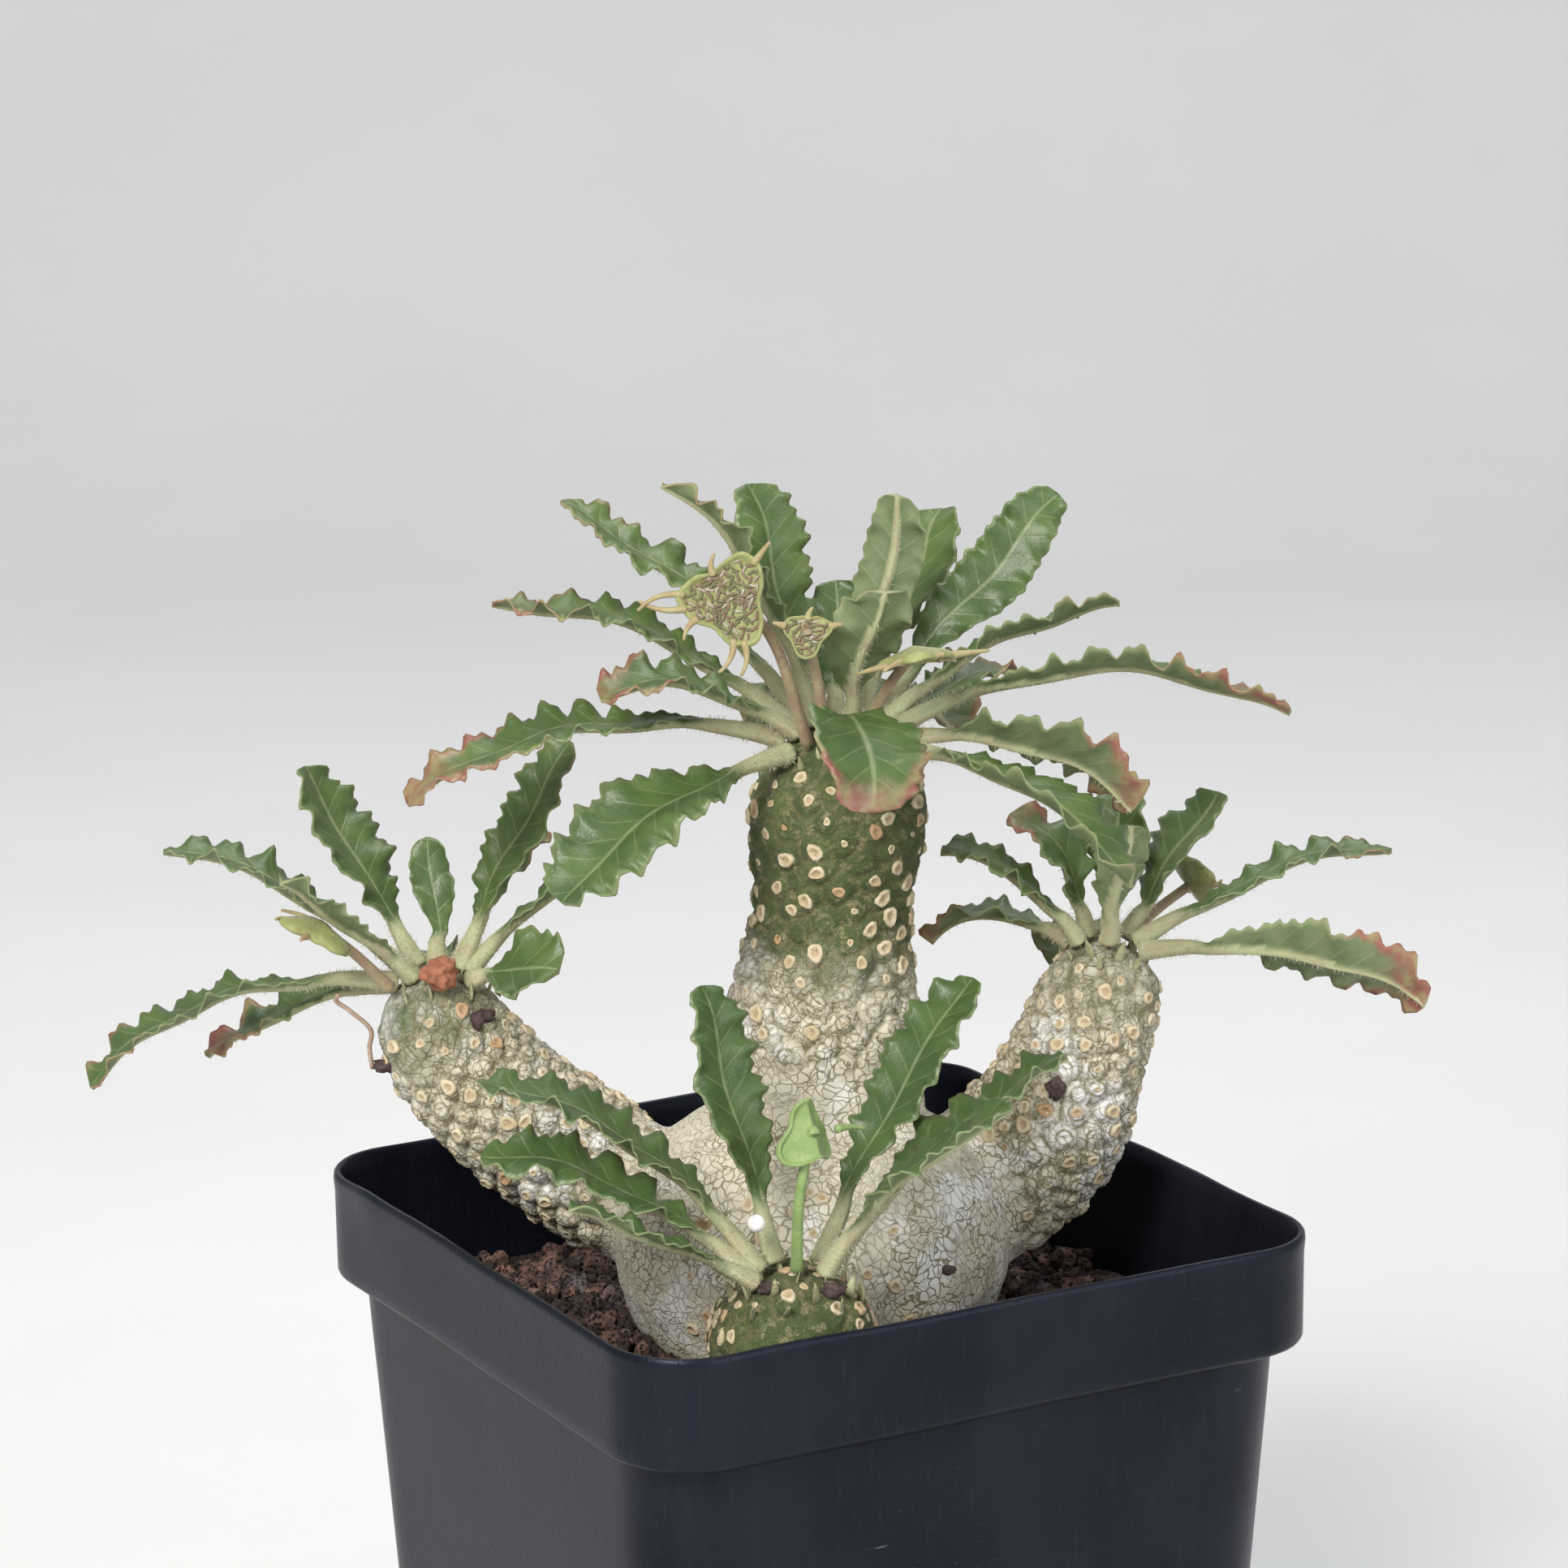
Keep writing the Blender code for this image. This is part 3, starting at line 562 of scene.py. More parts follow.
def make_crack_group():
    """Net of fine cracks between corky plates, as a mask and a height."""
    group, given, result = new_group(
        "crack net", (("Vector", VECTOR, None), ("Plate Scale", FLOAT, 260.0), ("Crack Width", FLOAT, 0.1)),
        (("Mask", FLOAT), ("Height", FLOAT), ("Plate", FLOAT)),
    )
    waver = {"Vector": given["Vector"], "Scale": 300.0, "Detail": 2.0}
    bend = group.add("ShaderNodeTexNoise", waver).outputs["Color"]
    place = group.vector_math("ADD", given["Vector"], group.vector_math("SCALE", bend, 0.0035))
    cells = {"Vector": place, "Scale": given["Plate Scale"]}
    edge = group.add("ShaderNodeTexVoronoi", cells, feature="DISTANCE_TO_EDGE").outputs["Distance"]
    plate = group.add("ShaderNodeTexVoronoi", cells, feature="F1").outputs["Color"]
    mask = group.span(edge, 0.0, given["Crack Width"], 1.0, 0.0)
    group.link(mask, result["Mask"])
    group.link(group.minus(1.0, mask), result["Height"])
    group.link(group.add("ShaderNodeSeparateColor", {0: plate}).outputs[0], result["Plate"])
    return group.tree


def make_dust_group():
    """Dusty film and specks over a colour, with the roughness that goes with them."""
    group, given, result = new_group(
        "dust film",
        (("Vector", VECTOR, None), ("Colour", COLOUR, None), ("Dust Colour", COLOUR, None),
         ("Amount", FLOAT, 0.2), ("Roughness", FLOAT, 0.4), ("Patch Scale", FLOAT, 60.0)),
        (("Colour", COLOUR), ("Roughness", FLOAT), ("Mask", FLOAT)),
    )
    patch = group.span(group.noise(given["Vector"], given["Patch Scale"], 5.0, 0.65), 0.42, 0.72)
    speck = group.span(group.noise(given["Vector"], 2200.0, 1.0), 0.62, 0.7)
    both = group.larger(patch, group.times(speck, 0.7))
    mask = group.times(both, given["Amount"])
    group.link(group.mix(mask, given["Colour"], given["Dust Colour"]), result["Colour"])
    rough = group.plus(given["Roughness"], group.times(mask, 0.5))
    group.link(rough, result["Roughness"])
    group.link(mask, result["Mask"])
    return group.tree


def effect(tree, name, inputs):
    """One of the shared effects, placed in a material's tree."""
    makers = {"uneven tone": make_tone_group, "crack net": make_crack_group, "dust film": make_dust_group}
    group = bpy.data.node_groups.get(name) or makers[name]()
    return tree.add("ShaderNodeGroup", inputs, node_tree=group).outputs


def two_tones(tree, place, tone_a, tone_b, blotch=120.0, grain=900.0, share=0.35):
    """The uneven tone between two colours."""
    return effect(tree, "uneven tone", {
        "Vector": place, "Tone A": tone_a, "Tone B": tone_b, "Blotch Scale": blotch, "Grain Scale": grain,
        "Grain Share": share,
    })


def new_material(name, **sockets):
    """Material with a Principled BSDF, the tree helper and the object coordinates."""
    material = bpy.data.materials.new(name)
    material.use_nodes = True
    tree = Tree(material.node_tree)
    shader = material.node_tree.nodes["Principled BSDF"]
    for key, value in sockets.items():
        shader.inputs[key.replace("_", " ")].default_value = value
    place = tree.add("ShaderNodeTexCoord").outputs["Object"]
    return material, tree, shader, place


def wire(tree, shader, colour, roughness=None, height=None, strength=0.5, distance=0.3 * MM):
    """Link a finished colour, roughness and bump height to the shader."""
    tree.link(colour, shader.inputs["Base Color"])
    if roughness is not None:
        tree.link(roughness, shader.inputs["Roughness"])
    if height is not None:
        bump = tree.add("ShaderNodeBump", {"Height": height, "Strength": strength, "Distance": distance})
        tree.link(bump.outputs["Normal"], shader.inputs["Normal"])


def pot_plastic(settings):
    """Thin satin nursery plastic with scuffs, dust and flow marks."""
    material, tree, shader, place = new_material(
        "satin pot plastic", Specular_IOR_Level=0.17, Specular_Tint=(0.72, 0.8, 1.0, 1)
    )
    stretched = tree.add("ShaderNodeMapping", {"Vector": place, "Scale": (1.0, 1.0, 0.12)}).outputs[0]
    worn = rgba([1.7 * part + 0.002 for part in settings.colour])
    tone = two_tones(tree, place, rgba(settings.colour), worn, 45.0, 1400.0, 0.25)
    dust = effect(tree, "dust film", {
        "Vector": stretched, "Colour": tone["Colour"], "Patch Scale": 38.0,
        "Dust Colour": (0.1, 0.1, 0.11, 1), "Amount": 0.06, "Roughness": settings.roughness,
    })
    strokes = {"Vector": place, "Rotation": (0.4, 0.3, 0.9), "Scale": (0.06, 1.0, 0.5)}
    scuff_line = tree.add("ShaderNodeMapping", strokes).outputs[0]
    scuff = tree.span(tree.noise(scuff_line, 2600.0, 2.0), 0.68, 0.76)
    scuff = tree.times(scuff, tree.span(tree.noise(place, 30.0), 0.5, 0.7, 0.0, 0.35))
    colour = tree.mix(scuff, dust["Colour"], (0.2, 0.2, 0.22, 1))
    fine = tree.plus(tree.noise(place, 2400.0, 2.0), tree.times(tree.noise(place, 90.0), 1.5))
    wire(tree, shader, colour, tree.plus(dust["Roughness"], tree.times(scuff, 0.3)), fine, 0.16)
    return material


def soil_grit(settings):
    """Porous volcanic grit with a tint for each grain."""
    material, tree, shader, place = new_material("porous soil grit", Roughness=0.9, Specular_IOR_Level=0.35)
    tint = tree.attribute("tint")
    base = tree.mix(tree.span(tint, 0.15, 0.85), rgba(settings.dark), rgba(settings.light))
    base = tree.mix(tree.span(tint, 0.86, 0.97), base, (0.16, 0.135, 0.14, 1))
    tone = two_tones(tree, place, base, rgba(settings.dark, 0.5), 420.0, 2600.0)
    cells = {"Vector": place, "Scale": 1700.0}
    pores = tree.span(tree.add("ShaderNodeTexVoronoi", cells).outputs["Distance"], 0.1, 0.55)
    colour = tree.mix(tree.minus(1.0, pores), tone["Colour"], (0.006, 0.004, 0.004, 1))
    height = tree.plus(pores, tree.noise(place, 1500.0))
    wire(tree, shader, colour, tree.wear(tone, 0.7, 0.95), height, 0.9, 0.35 * MM)
    return material


def corky_bark(settings):
    """Stem skin: cracked pale cork below, scar plates, and green young tissue near the heads."""
    material, tree, shader, place = new_material("corky bark", Specular_IOR_Level=0.35, Sheen_Weight=0.06)
    young, low, groove = tree.attribute("young"), tree.attribute("low"), tree.attribute("groove")
    mark, plated = tree.attribute("mark"), tree.attribute("plated")
    olive, shadow, chalk = (0.17, 0.14, 0.065, 1), (0.22, 0.17, 0.09, 1), (0.76, 0.76, 0.75, 1)

    # Old cork: pale plates, chalky patches, two sizes of crack, and a mossy foot.
    tone = two_tones(tree, place, rgba(settings.old), rgba(settings.old, 0.85), 150.0, 1500.0, 0.4)
    plates = effect(tree, "crack net", {"Vector": place, "Plate Scale": 860.0, "Crack Width": 0.1})
    wide = effect(tree, "crack net", {"Vector": place, "Plate Scale": 330.0, "Crack Width": 0.035})
    cork = tree.mix(tree.times(plates["Plate"], 0.35), tone["Colour"], (0.7, 0.66, 0.55, 1))
    cork = tree.mix(tree.span(tree.noise(place, 85.0), 0.5, 0.62, 0.0, 0.75), cork, chalk)
    cracked = tree.span(tree.noise(place, 140.0), 0.34, 0.6, 0.35, 1.0)
    cork = tree.mix(tree.times(plates["Mask"], cracked), cork, olive)
    cork = tree.mix(tree.times(wide["Mask"], 0.4), cork, shadow)
    moss = tree.times(low, tree.span(tree.noise(place, 110.0), 0.4, 0.66, 0.05, 0.6))
    cork = tree.mix(moss, cork, (0.17, 0.18, 0.07, 1))

    # Young tissue: green with pale flecks and faint cracks.
    leafy = two_tones(tree, place, rgba(settings.young), rgba(settings.young, 0.55), 240.0)
    flecks = tree.span(tree.noise(place, 620.0, 4.0, 0.7), 0.52, 0.64, 0.0, 0.5)
    flecked = tree.mix(flecks, leafy["Colour"], (0.34, 0.28, 0.16, 1))
    flecked = tree.mix(tree.times(plates["Mask"], 0.45), flecked, (0.07, 0.075, 0.025, 1))
    colour = tree.mix(tree.span(tree.jitter(young, place, 260.0, 0.9), 0.22, 0.86), cork, flecked)

    # Scar plates: a dark ring and heart on each, and the grooves between them.
    ring = tree.math("ABSOLUTE", tree.minus(mark, 0.3))
    ring = tree.times(tree.span(ring, 0.0, 0.1, 0.9, 0.0), plated)
    heart = tree.times(tree.span(mark, 0.04, 0.13, 0.9, 0.0), plated)
    marks = tree.larger(tree.larger(ring, heart), groove)
    ragged = tree.times(marks, tree.span(tree.noise(place, 900.0), 0.35, 0.6, 0.35, 1.0))
    colour = tree.mix(ragged, colour, (0.16, 0.135, 0.055, 1))
    height = tree.plus(tree.times(plates["Height"], 0.7), tree.times(wide["Height"], 0.5))
    height = tree.plus(height, tree.plus(tree.noise(place, 1900.0), tree.times(ragged, -0.8)))
    rough = tree.span(tree.noise(place, 400.0), 0.3, 0.7, 0.55, 0.8)
    wire(tree, shader, colour, rough, height, 0.55, 0.25 * MM)
    return material


def scar_cork():
    """Cream cork of the round leaf scars, with an orange-brown heart."""
    material, tree, shader, place = new_material("leaf scar cork", Roughness=0.7, Specular_IOR_Level=0.3)
    tint = tree.attribute("tint")
    tone = two_tones(tree, place, (0.68, 0.59, 0.42, 1), (0.46, 0.38, 0.22, 1), 500.0, 2400.0)
    rusty = tree.mix(tree.span(tint, 0.75, 1.0, 0.0, 0.7), tone["Colour"], (0.38, 0.18, 0.07, 1))
    colour = tree.mix(tree.times(tree.attribute("heart"), 0.6), rusty, (0.3, 0.19, 0.09, 1))
    wire(tree, shader, colour, tree.wear(tone, 0.6, 0.8), tree.noise(place, 2600.0), 0.6)
    return material


def leaf_flesh(settings):
    """Glossy leaf: green blade, pale midrib and veins, blushed tip, and a downy underside."""
    material, tree, shader, place = new_material(
        "leaf flesh", Specular_IOR_Level=0.5, Subsurface_Weight=0.08, Subsurface_Scale=0.6 * MM
    )
    upper, across, vein = tree.attribute("upper"), tree.attribute("across"), tree.attribute("vein")
    stalk, blush, shade = tree.attribute("stalk"), tree.attribute("blush"), tree.attribute("shade")

    # Blade: a green that differs from leaf to leaf above, and paler below.
    bright = rgba([times * part for times, part in zip((2.1, 1.8, 1.7), settings.green)])
    top = two_tones(tree, place, rgba(settings.green), bright, 190.0, 1500.0)
    below = two_tones(tree, place, (0.1, 0.145, 0.055, 1), (0.17, 0.21, 0.1, 1), 260.0, 1900.0)
    deep = tree.mix(tree.span(shade, 0.0, 1.0, 0.62, 1.0), (0.028, 0.068, 0.026, 1), top["Colour"])
    blade = tree.mix(upper, below["Colour"], deep)

    # Veins, and the pale line of the margin, which is partly the margin's own paler colour and partly a
    # painted rim highlight.
    wave = tree.math("ABSOLUTE", tree.minus(tree.math("FRACT", vein), 0.5))
    side_vein = tree.times(tree.span(wave, 0.43, 0.5, 0.0, 0.17), tree.span(across, 0.55, 0.95, 1.0, 0.0))
    rib = tree.span(across, 0.015, 0.085, 1.0, 0.0)
    colour = tree.mix(tree.larger(side_vein, tree.times(rib, 0.34)), blade, rgba(settings.pale))
    # Pale margin line: the leaf's own paler edge with a painted rim highlight in it.
    colour = tree.mix(tree.span(across, 0.86, 1.0, 0.0, 0.45), colour, (0.27, 0.31, 0.15, 1))

    # Blush of the tip and the margin, and the leaf stalk.
    edge = tree.times(tree.span(across, 0.78, 1.0), tree.plus(blush, 0.22))
    blotches = tree.span(tree.noise(place, 500.0), 0.35, 0.65)
    tone = tree.mix(blotches, rgba(settings.blush), (0.27, 0.21, 0.1, 1))
    patchy = tree.plus(tree.jitter(blush, place, 420.0, 0.5), tree.times(edge, 0.5))
    colour = tree.mix(tree.span(patchy, 0.3, 0.8, 0.0, 0.9), colour, tone)
    petiole = two_tones(tree, place, rgba(settings.pale), (0.35, 0.3, 0.18, 1), 300.0, 2200.0)
    colour = tree.mix(stalk, colour, petiole["Colour"])

    dull = tree.larger(stalk, tree.minus(1.0, upper))
    rough = tree.plus(tree.span(dull, 0.0, 1.0, 0.36, 0.64), tree.times(tree.noise(place, 300.0), 0.12))
    height = tree.plus(tree.noise(place, 2200.0), tree.times(side_vein, -1.5))
    wire(tree, shader, colour, rough, height, 0.35, 0.2 * MM)
    return material


def flower_flesh(name, light, deep):
    """Soft tissue of a flower in two close tones."""
    material, tree, shader, place = new_material(
        name, Roughness=0.45, Subsurface_Weight=0.15, Subsurface_Scale=0.5 * MM, Sheen_Weight=0.15
    )
    tone = two_tones(tree, place, rgba(light), rgba(deep), 450.0, 2500.0)
    wire(tree, shader, tone["Colour"], tree.wear(tone, 0.45, 0.65), tree.noise(place, 1800.0), 0.45)
    return material


def floret_flesh():
    """Tiny florets, each olive, cream or pinkish brown by its tint."""
    material, tree, shader, place = new_material("floret flesh", Roughness=0.5, Sheen_Weight=0.1)
    tint = tree.attribute("tint")
    colour = tree.mix(tree.span(tint, 0.3, 0.42), (0.1, 0.115, 0.04, 1), (0.2, 0.12, 0.07, 1))
    colour = tree.mix(tree.span(tint, 0.74, 0.82), colour, (0.5, 0.45, 0.36, 1))
    tone = two_tones(tree, place, colour, (0.16, 0.11, 0.07, 1), 1200.0, 3000.0, 0.6)
    wire(tree, shader, tone["Colour"], tree.wear(tone, 0.4, 0.65))
    return material


def seed_coat():
    """Hard off-white seed coat with faint specks."""
    material, tree, shader, place = new_material("seed coat", Coat_Weight=0.2)
    tone = two_tones(tree, place, (0.83, 0.81, 0.8, 1), (0.66, 0.6, 0.52, 1), 900.0, 4200.0)
    wire(tree, shader, tone["Colour"], tree.wear(tone, 0.3, 0.5), tree.noise(place, 2600.0), 0.3)
    return material


def dry_tissue(name, light, deep):
    """Papery dead tissue."""
    material, tree, shader, place = new_material(name, Specular_IOR_Level=0.3)
    tone = two_tones(tree, place, rgba(light), rgba(deep), 700.0, 3000.0, 0.5)
    wire(tree, shader, tone["Colour"], tree.wear(tone, 0.6, 0.9), tree.noise(place, 2400.0), 0.8)
    return material


def material(name, maker, *values):
    """A material by name, made on first use."""
    return bpy.data.materials.get(name) or maker(*values)


def tissue(name, maker, light, deep):
    """A named finish in two tones, made on first use."""
    return material(name, maker, name, light, deep)


# ---------------------------------------------------------------- geometry trees


GEOMETRY = "NodeSocketGeometry"


def grown(obj, tree, values):
    """Run a geometry tree on an object and keep its result as a plain mesh."""
    modifier = obj.modifiers.new(tree.name, "NODES")
    modifier.node_group = tree
    for item in tree.interface.items_tree:
        if item.in_out == "INPUT" and item.name in values:
            modifier[item.identifier] = values[item.name]
    return evaluated(obj)


def make_grain_tree():
    """Scatters rough grains over an upward surface."""
    group, given, result = new_group(
        "scattered grains",
        (("Geometry", GEOMETRY, None), ("Grain Radius", FLOAT, 1.9 * MM), ("Spacing", FLOAT, 2.4 * MM),
         ("Least Size", FLOAT, 0.55), ("Roughness", FLOAT, 0.6 * MM), ("Seed", "NodeSocketInt", 1),
         ("Material", "NodeSocketMaterial", None)),
        (("Geometry", GEOMETRY),), "GeometryNodeTree",
    )
    spread = group.add(
        "GeometryNodeDistributePointsOnFaces",
        {"Mesh": given["Geometry"], "Distance Min": given["Spacing"], "Density Max": 900000.0,
         "Seed": given["Seed"]},
        distribute_method="POISSON",
    )
    stone = group.add("GeometryNodeMeshIcoSphere", {"Radius": given["Grain Radius"], "Subdivisions": 3})
    turns = {0: (0, 0, 0), 1: (ANY_TURN, ANY_TURN, ANY_TURN), "Seed": given["Seed"]}
    turn = group.add("FunctionNodeRandomValue", turns, data_type="FLOAT_VECTOR")
    sizes = {0: given["Least Size"], 1: (1.15, 1.15, 1.0), "Seed": given["Seed"]}
    size = group.add("FunctionNodeRandomValue", sizes, data_type="FLOAT_VECTOR")
    placed = group.add(
        "GeometryNodeInstanceOnPoints",
        {"Points": spread.outputs["Points"], "Instance": stone.outputs["Mesh"], "Rotation": turn.outputs[0],
         "Scale": size.outputs[0]},
    )
    tint = group.add("FunctionNodeRandomValue", {"Seed": given["Seed"]}, data_type="FLOAT")
    labelled = {"Geometry": placed.outputs[0], "Name": "tint", "Value": tint.outputs[1]}
    tinted = group.add("GeometryNodeStoreNamedAttribute", labelled, data_type="FLOAT", domain="INSTANCE")
    real = group.add("GeometryNodeRealizeInstances", {"Geometry": tinted.outputs[0]})
    place = group.add("GeometryNodeInputPosition").outputs[0]
    lumps = group.add("ShaderNodeTexNoise", {"Vector": place, "Scale": 700.0, "Detail": 3.0}).outputs["Color"]
    centred = group.vector_math("SUBTRACT", lumps, (0.5, 0.5, 0.5))
    offset = group.vector_math("SCALE", centred, group.times(given["Roughness"], 4.0))
    rough = group.add("GeometryNodeSetPosition", {"Geometry": real.outputs[0], "Offset": offset})
    shade = group.add("GeometryNodeSetShadeSmooth", {"Geometry": rough.outputs[0], "Shade Smooth": False})
    done = group.add("GeometryNodeSetMaterial", {"Geometry": shade.outputs[0], "Material": given["Material"]})
    group.link(done.outputs[0], result["Geometry"])
    return group.tree


def make_planting_tree():
    """Sets one small shape on every point, standing on the point's own normal."""
    group, given, result = new_group(
        "planted shapes",
        (("Geometry", GEOMETRY, None), ("Shape", "NodeSocketObject", None), ("Lean", FLOAT, 0.2),
         ("Seed", "NodeSocketInt", 1), ("Material", "NodeSocketMaterial", None)),
        (("Geometry", GEOMETRY),), "GeometryNodeTree",
    )
    shape = group.add("GeometryNodeObjectInfo", {"Object": given["Shape"]}).outputs["Geometry"]
    ways = {0: (-1, -1, -1), 1: (1, 1, 1), "Seed": given["Seed"]}
    sway = group.add("FunctionNodeRandomValue", ways, data_type="FLOAT_VECTOR").outputs[0]
    sway = group.vector_math("SCALE", sway, given["Lean"])
    normal = group.vector_math("ADD", group.stored("aim", "FLOAT_VECTOR"), sway)
    upright = group.add("FunctionNodeAlignRotationToVector", {"Vector": normal}, axis="Z").outputs[0]
    spins = {"Axis": (0, 0, 1), "Angle": group.stored("turn")}
    spin = group.add("FunctionNodeAxisAngleToRotation", spins).outputs[0]
    rotations = {"Rotation": upright, "Rotate By": spin}
    turned = group.add("FunctionNodeRotateRotation", rotations, rotation_space="LOCAL")
    points = group.add("GeometryNodeMeshToPoints", {"Mesh": given["Geometry"]}).outputs[0]
    placed = group.add("GeometryNodeInstanceOnPoints", {
        "Points": points, "Instance": shape, "Rotation": turned.outputs[0], "Scale": group.stored("size"),
    })
    real = group.add("GeometryNodeRealizeInstances", {"Geometry": placed.outputs[0]})
    shade = group.add("GeometryNodeSetShadeSmooth", {"Geometry": real.outputs[0]})
    done = group.add("GeometryNodeSetMaterial", {"Geometry": shade.outputs[0], "Material": given["Material"]})
    group.link(done.outputs[0], result["Geometry"])
    return group.tree


def make_down_tree():
    """Grows short hairs where the surface's own stalk value is high, and keeps the surface."""
    group, given, result = new_group(
        "downy hairs",
        (("Geometry", GEOMETRY, None), ("Hair Length", FLOAT, 0.6 * MM), ("Hair Width", FLOAT, 0.035 * MM),
         ("Density", FLOAT, 4000000.0), ("Seed", "NodeSocketInt", 1),
         ("Material", "NodeSocketMaterial", None)),
        (("Geometry", GEOMETRY),), "GeometryNodeTree",
    )
    density = group.times(group.stored("downy"), given["Density"])
    spread = group.add("GeometryNodeDistributePointsOnFaces",
                       {"Mesh": given["Geometry"], "Density": density, "Seed": given["Seed"]},
                       distribute_method="RANDOM")
    sizes = {"Vertices": 3, "Radius Top": 0.0, "Radius Bottom": given["Hair Width"],
             "Depth": given["Hair Length"]}
    hair = group.add("GeometryNodeMeshCone", sizes, fill_type="NGON")
    leans = {0: (-0.5, -0.5, 0), 1: (0.5, 0.5, ANY_TURN), "Seed": given["Seed"]}
    turn = group.add("FunctionNodeRandomValue", leans, data_type="FLOAT_VECTOR").outputs[0]
    rotations = {"Rotation": spread.outputs["Rotation"], "Rotate By": turn}
    turned = group.add("FunctionNodeRotateRotation", rotations, rotation_space="LOCAL")
    placed = group.add("GeometryNodeInstanceOnPoints", {
        "Points": spread.outputs["Points"], "Instance": hair.outputs["Mesh"], "Rotation": turned.outputs[0],
    })
    real = group.add("GeometryNodeRealizeInstances", {"Geometry": placed.outputs[0]})
    done = group.add("GeometryNodeSetMaterial", {"Geometry": real.outputs[0], "Material": given["Material"]})
    both = group.add("GeometryNodeJoinGeometry", {"Geometry": done.outputs[0]})
    group.link(given["Geometry"], both.inputs[0])
    group.link(both.outputs[0], result["Geometry"])
    return group.tree


def tree_of(name, maker):
    """A geometry tree by name, made on first use."""
    return bpy.data.node_groups.get(name) or maker()


def plant_shapes(name, spots, shape, lean, seed, finish):
    """Piece with one shape on each spot: place, normal, size, turn and tint."""
    obj = new_object(name, [spot[0] for spot in spots], [])
    aim = obj.data.attributes.new("aim", "FLOAT_VECTOR", "POINT")
    aim.data.foreach_set("vector", np.array([spot[1] for spot in spots], dtype=np.float32).ravel())
    for column, label in ((2, "size"), (3, "turn"), (4, "tint")):
        put_attribute(obj.data, label, [spot[column] for spot in spots])
    values = {"Shape": shape, "Lean": lean, "Seed": seed, "Material": finish}
    grown(obj, tree_of("planted shapes", make_planting_tree), values)
    bpy.data.objects.remove(shape)
    return obj


# ---------------------------------------------------------------- pot and soil


def square_ring(half, corner, z, per_side=26, per_corner=9):
    """Rounded square ring with points spaced along its straight sides."""
    ring = []
    straight = half - corner
    for quarter in range(4):
        spin = Matrix.Rotation(math.pi / 2 * quarter, 3, "Z")
        for step in range(per_corner + 1):
            angle = math.pi / 2 * step / per_corner
            x, y = straight + corner * math.cos(angle), straight + corner * math.sin(angle)
            ring.append(spin @ Vector((x, y, z)))
        for step in range(1, per_side):
            x = straight - 2 * straight * step / per_side
            ring.append(spin @ Vector((x, straight + corner, z)))
    return ring


def pot_profile():
    """Outer then inner profile of the pot as half width, corner radius and height."""
    band_foot = POT_HEIGHT - BAND_HEIGHT
    inner = POT_CORNER - POT_WALL
    lip, shelf = POT_HEIGHT - 0.4 * MM, 70 * MM

    def body(z, inset=0.0):
        return POT_HALF - BAND_STEP - POT_TAPER * (band_foot - z) - inset

    rows = [
        (body(0) - FOOT_CHAMFER, POT_CORNER - FOOT_CHAMFER, 0.0),
        (body(0) - 0.5 * FOOT_CHAMFER, POT_CORNER - 0.5 * FOOT_CHAMFER, 0.25 * MM),
        (body(0), POT_CORNER, FOOT_CHAMFER),
    ]
    for step in range(1, 15):
        z = FOOT_CHAMFER + (band_foot - 2 * FOOT_CHAMFER) * step / 15
        rows.append((body(z), POT_CORNER, z))
    rows += [
        (body(band_foot) - 0.1 * MM, POT_CORNER, band_foot - 1.2 * MM),
        (body(band_foot), POT_CORNER, band_foot - 0.35 * MM),
        (POT_HALF - 0.75 * BAND_STEP, POT_CORNER, band_foot),
        (POT_HALF - 0.3 * MM, POT_CORNER, band_foot + 0.7 * STEP_RISE),
    ]
    for step in range(8):
        rows.append((POT_HALF - 0.1 * MM, POT_CORNER, band_foot + STEP_RISE + BAND_STRAIGHT * step / 8))
    rows += [
        (POT_HALF, POT_CORNER, POT_HEIGHT - 0.9 * MM),
        (POT_HALF - 0.05 * MM, POT_CORNER, POT_HEIGHT - 0.35 * MM),
        (POT_HALF - 0.35 * MM, POT_CORNER - 0.3 * MM, POT_HEIGHT - 0.02 * MM),
        (POT_HALF - 0.75 * MM, POT_CORNER - 0.7 * MM, POT_HEIGHT - 0.05 * MM),
        (POT_HALF - POT_WALL, inner, lip),
    ]
    for step in range(1, 13):
        share = step / 12
        half = (1 - share) * (POT_HALF - POT_WALL) + share * body(shelf, POT_WALL)
        rows.append((half, inner, (1 - share) * lip + share * shelf))
    for step in range(1, 12):
        z = shelf - (shelf - 2 * MM) * step / 12
        rows.append((body(z, POT_WALL), inner, z))
    rows.append((body(POT_WALL, POT_WALL) - 0.6 * MM, inner - 0.6 * MM, POT_WALL))
    return rows


def bow(point, wave):
    """Bend a point of the pot's wall as thin plastic bends: soft bows, a wavy rim and one lifted corner."""
    near_rim = float(smooth_step(55 * MM, POT_HEIGHT, point.z))
    sideways = noise.noise(Vector((point.x * 38, point.y * 38, point.z * 14 + 3.1)))
    out = Vector((point.x, point.y, 0))
    out = out.normalized() if out.length > 20 * MM else Vector((0, 0, 0))
    shift = out * (wave * sideways * (0.35 + 0.9 * near_rim))
    dip = noise.noise(Vector((point.x * 45 + 7, point.y * 45, 0))) - 0.25
    shift.z += min(dip, 0.12) * 1.1 * wave * near_rim
    from_corner = (point - Vector((-POT_HALF, 0.62 * POT_HALF, POT_HEIGHT))).length
    shift += Vector((-0.5, 0.2, 0.6)) * MM * math.exp(-((from_corner / (4 * MM)) ** 2))
    return point + shift


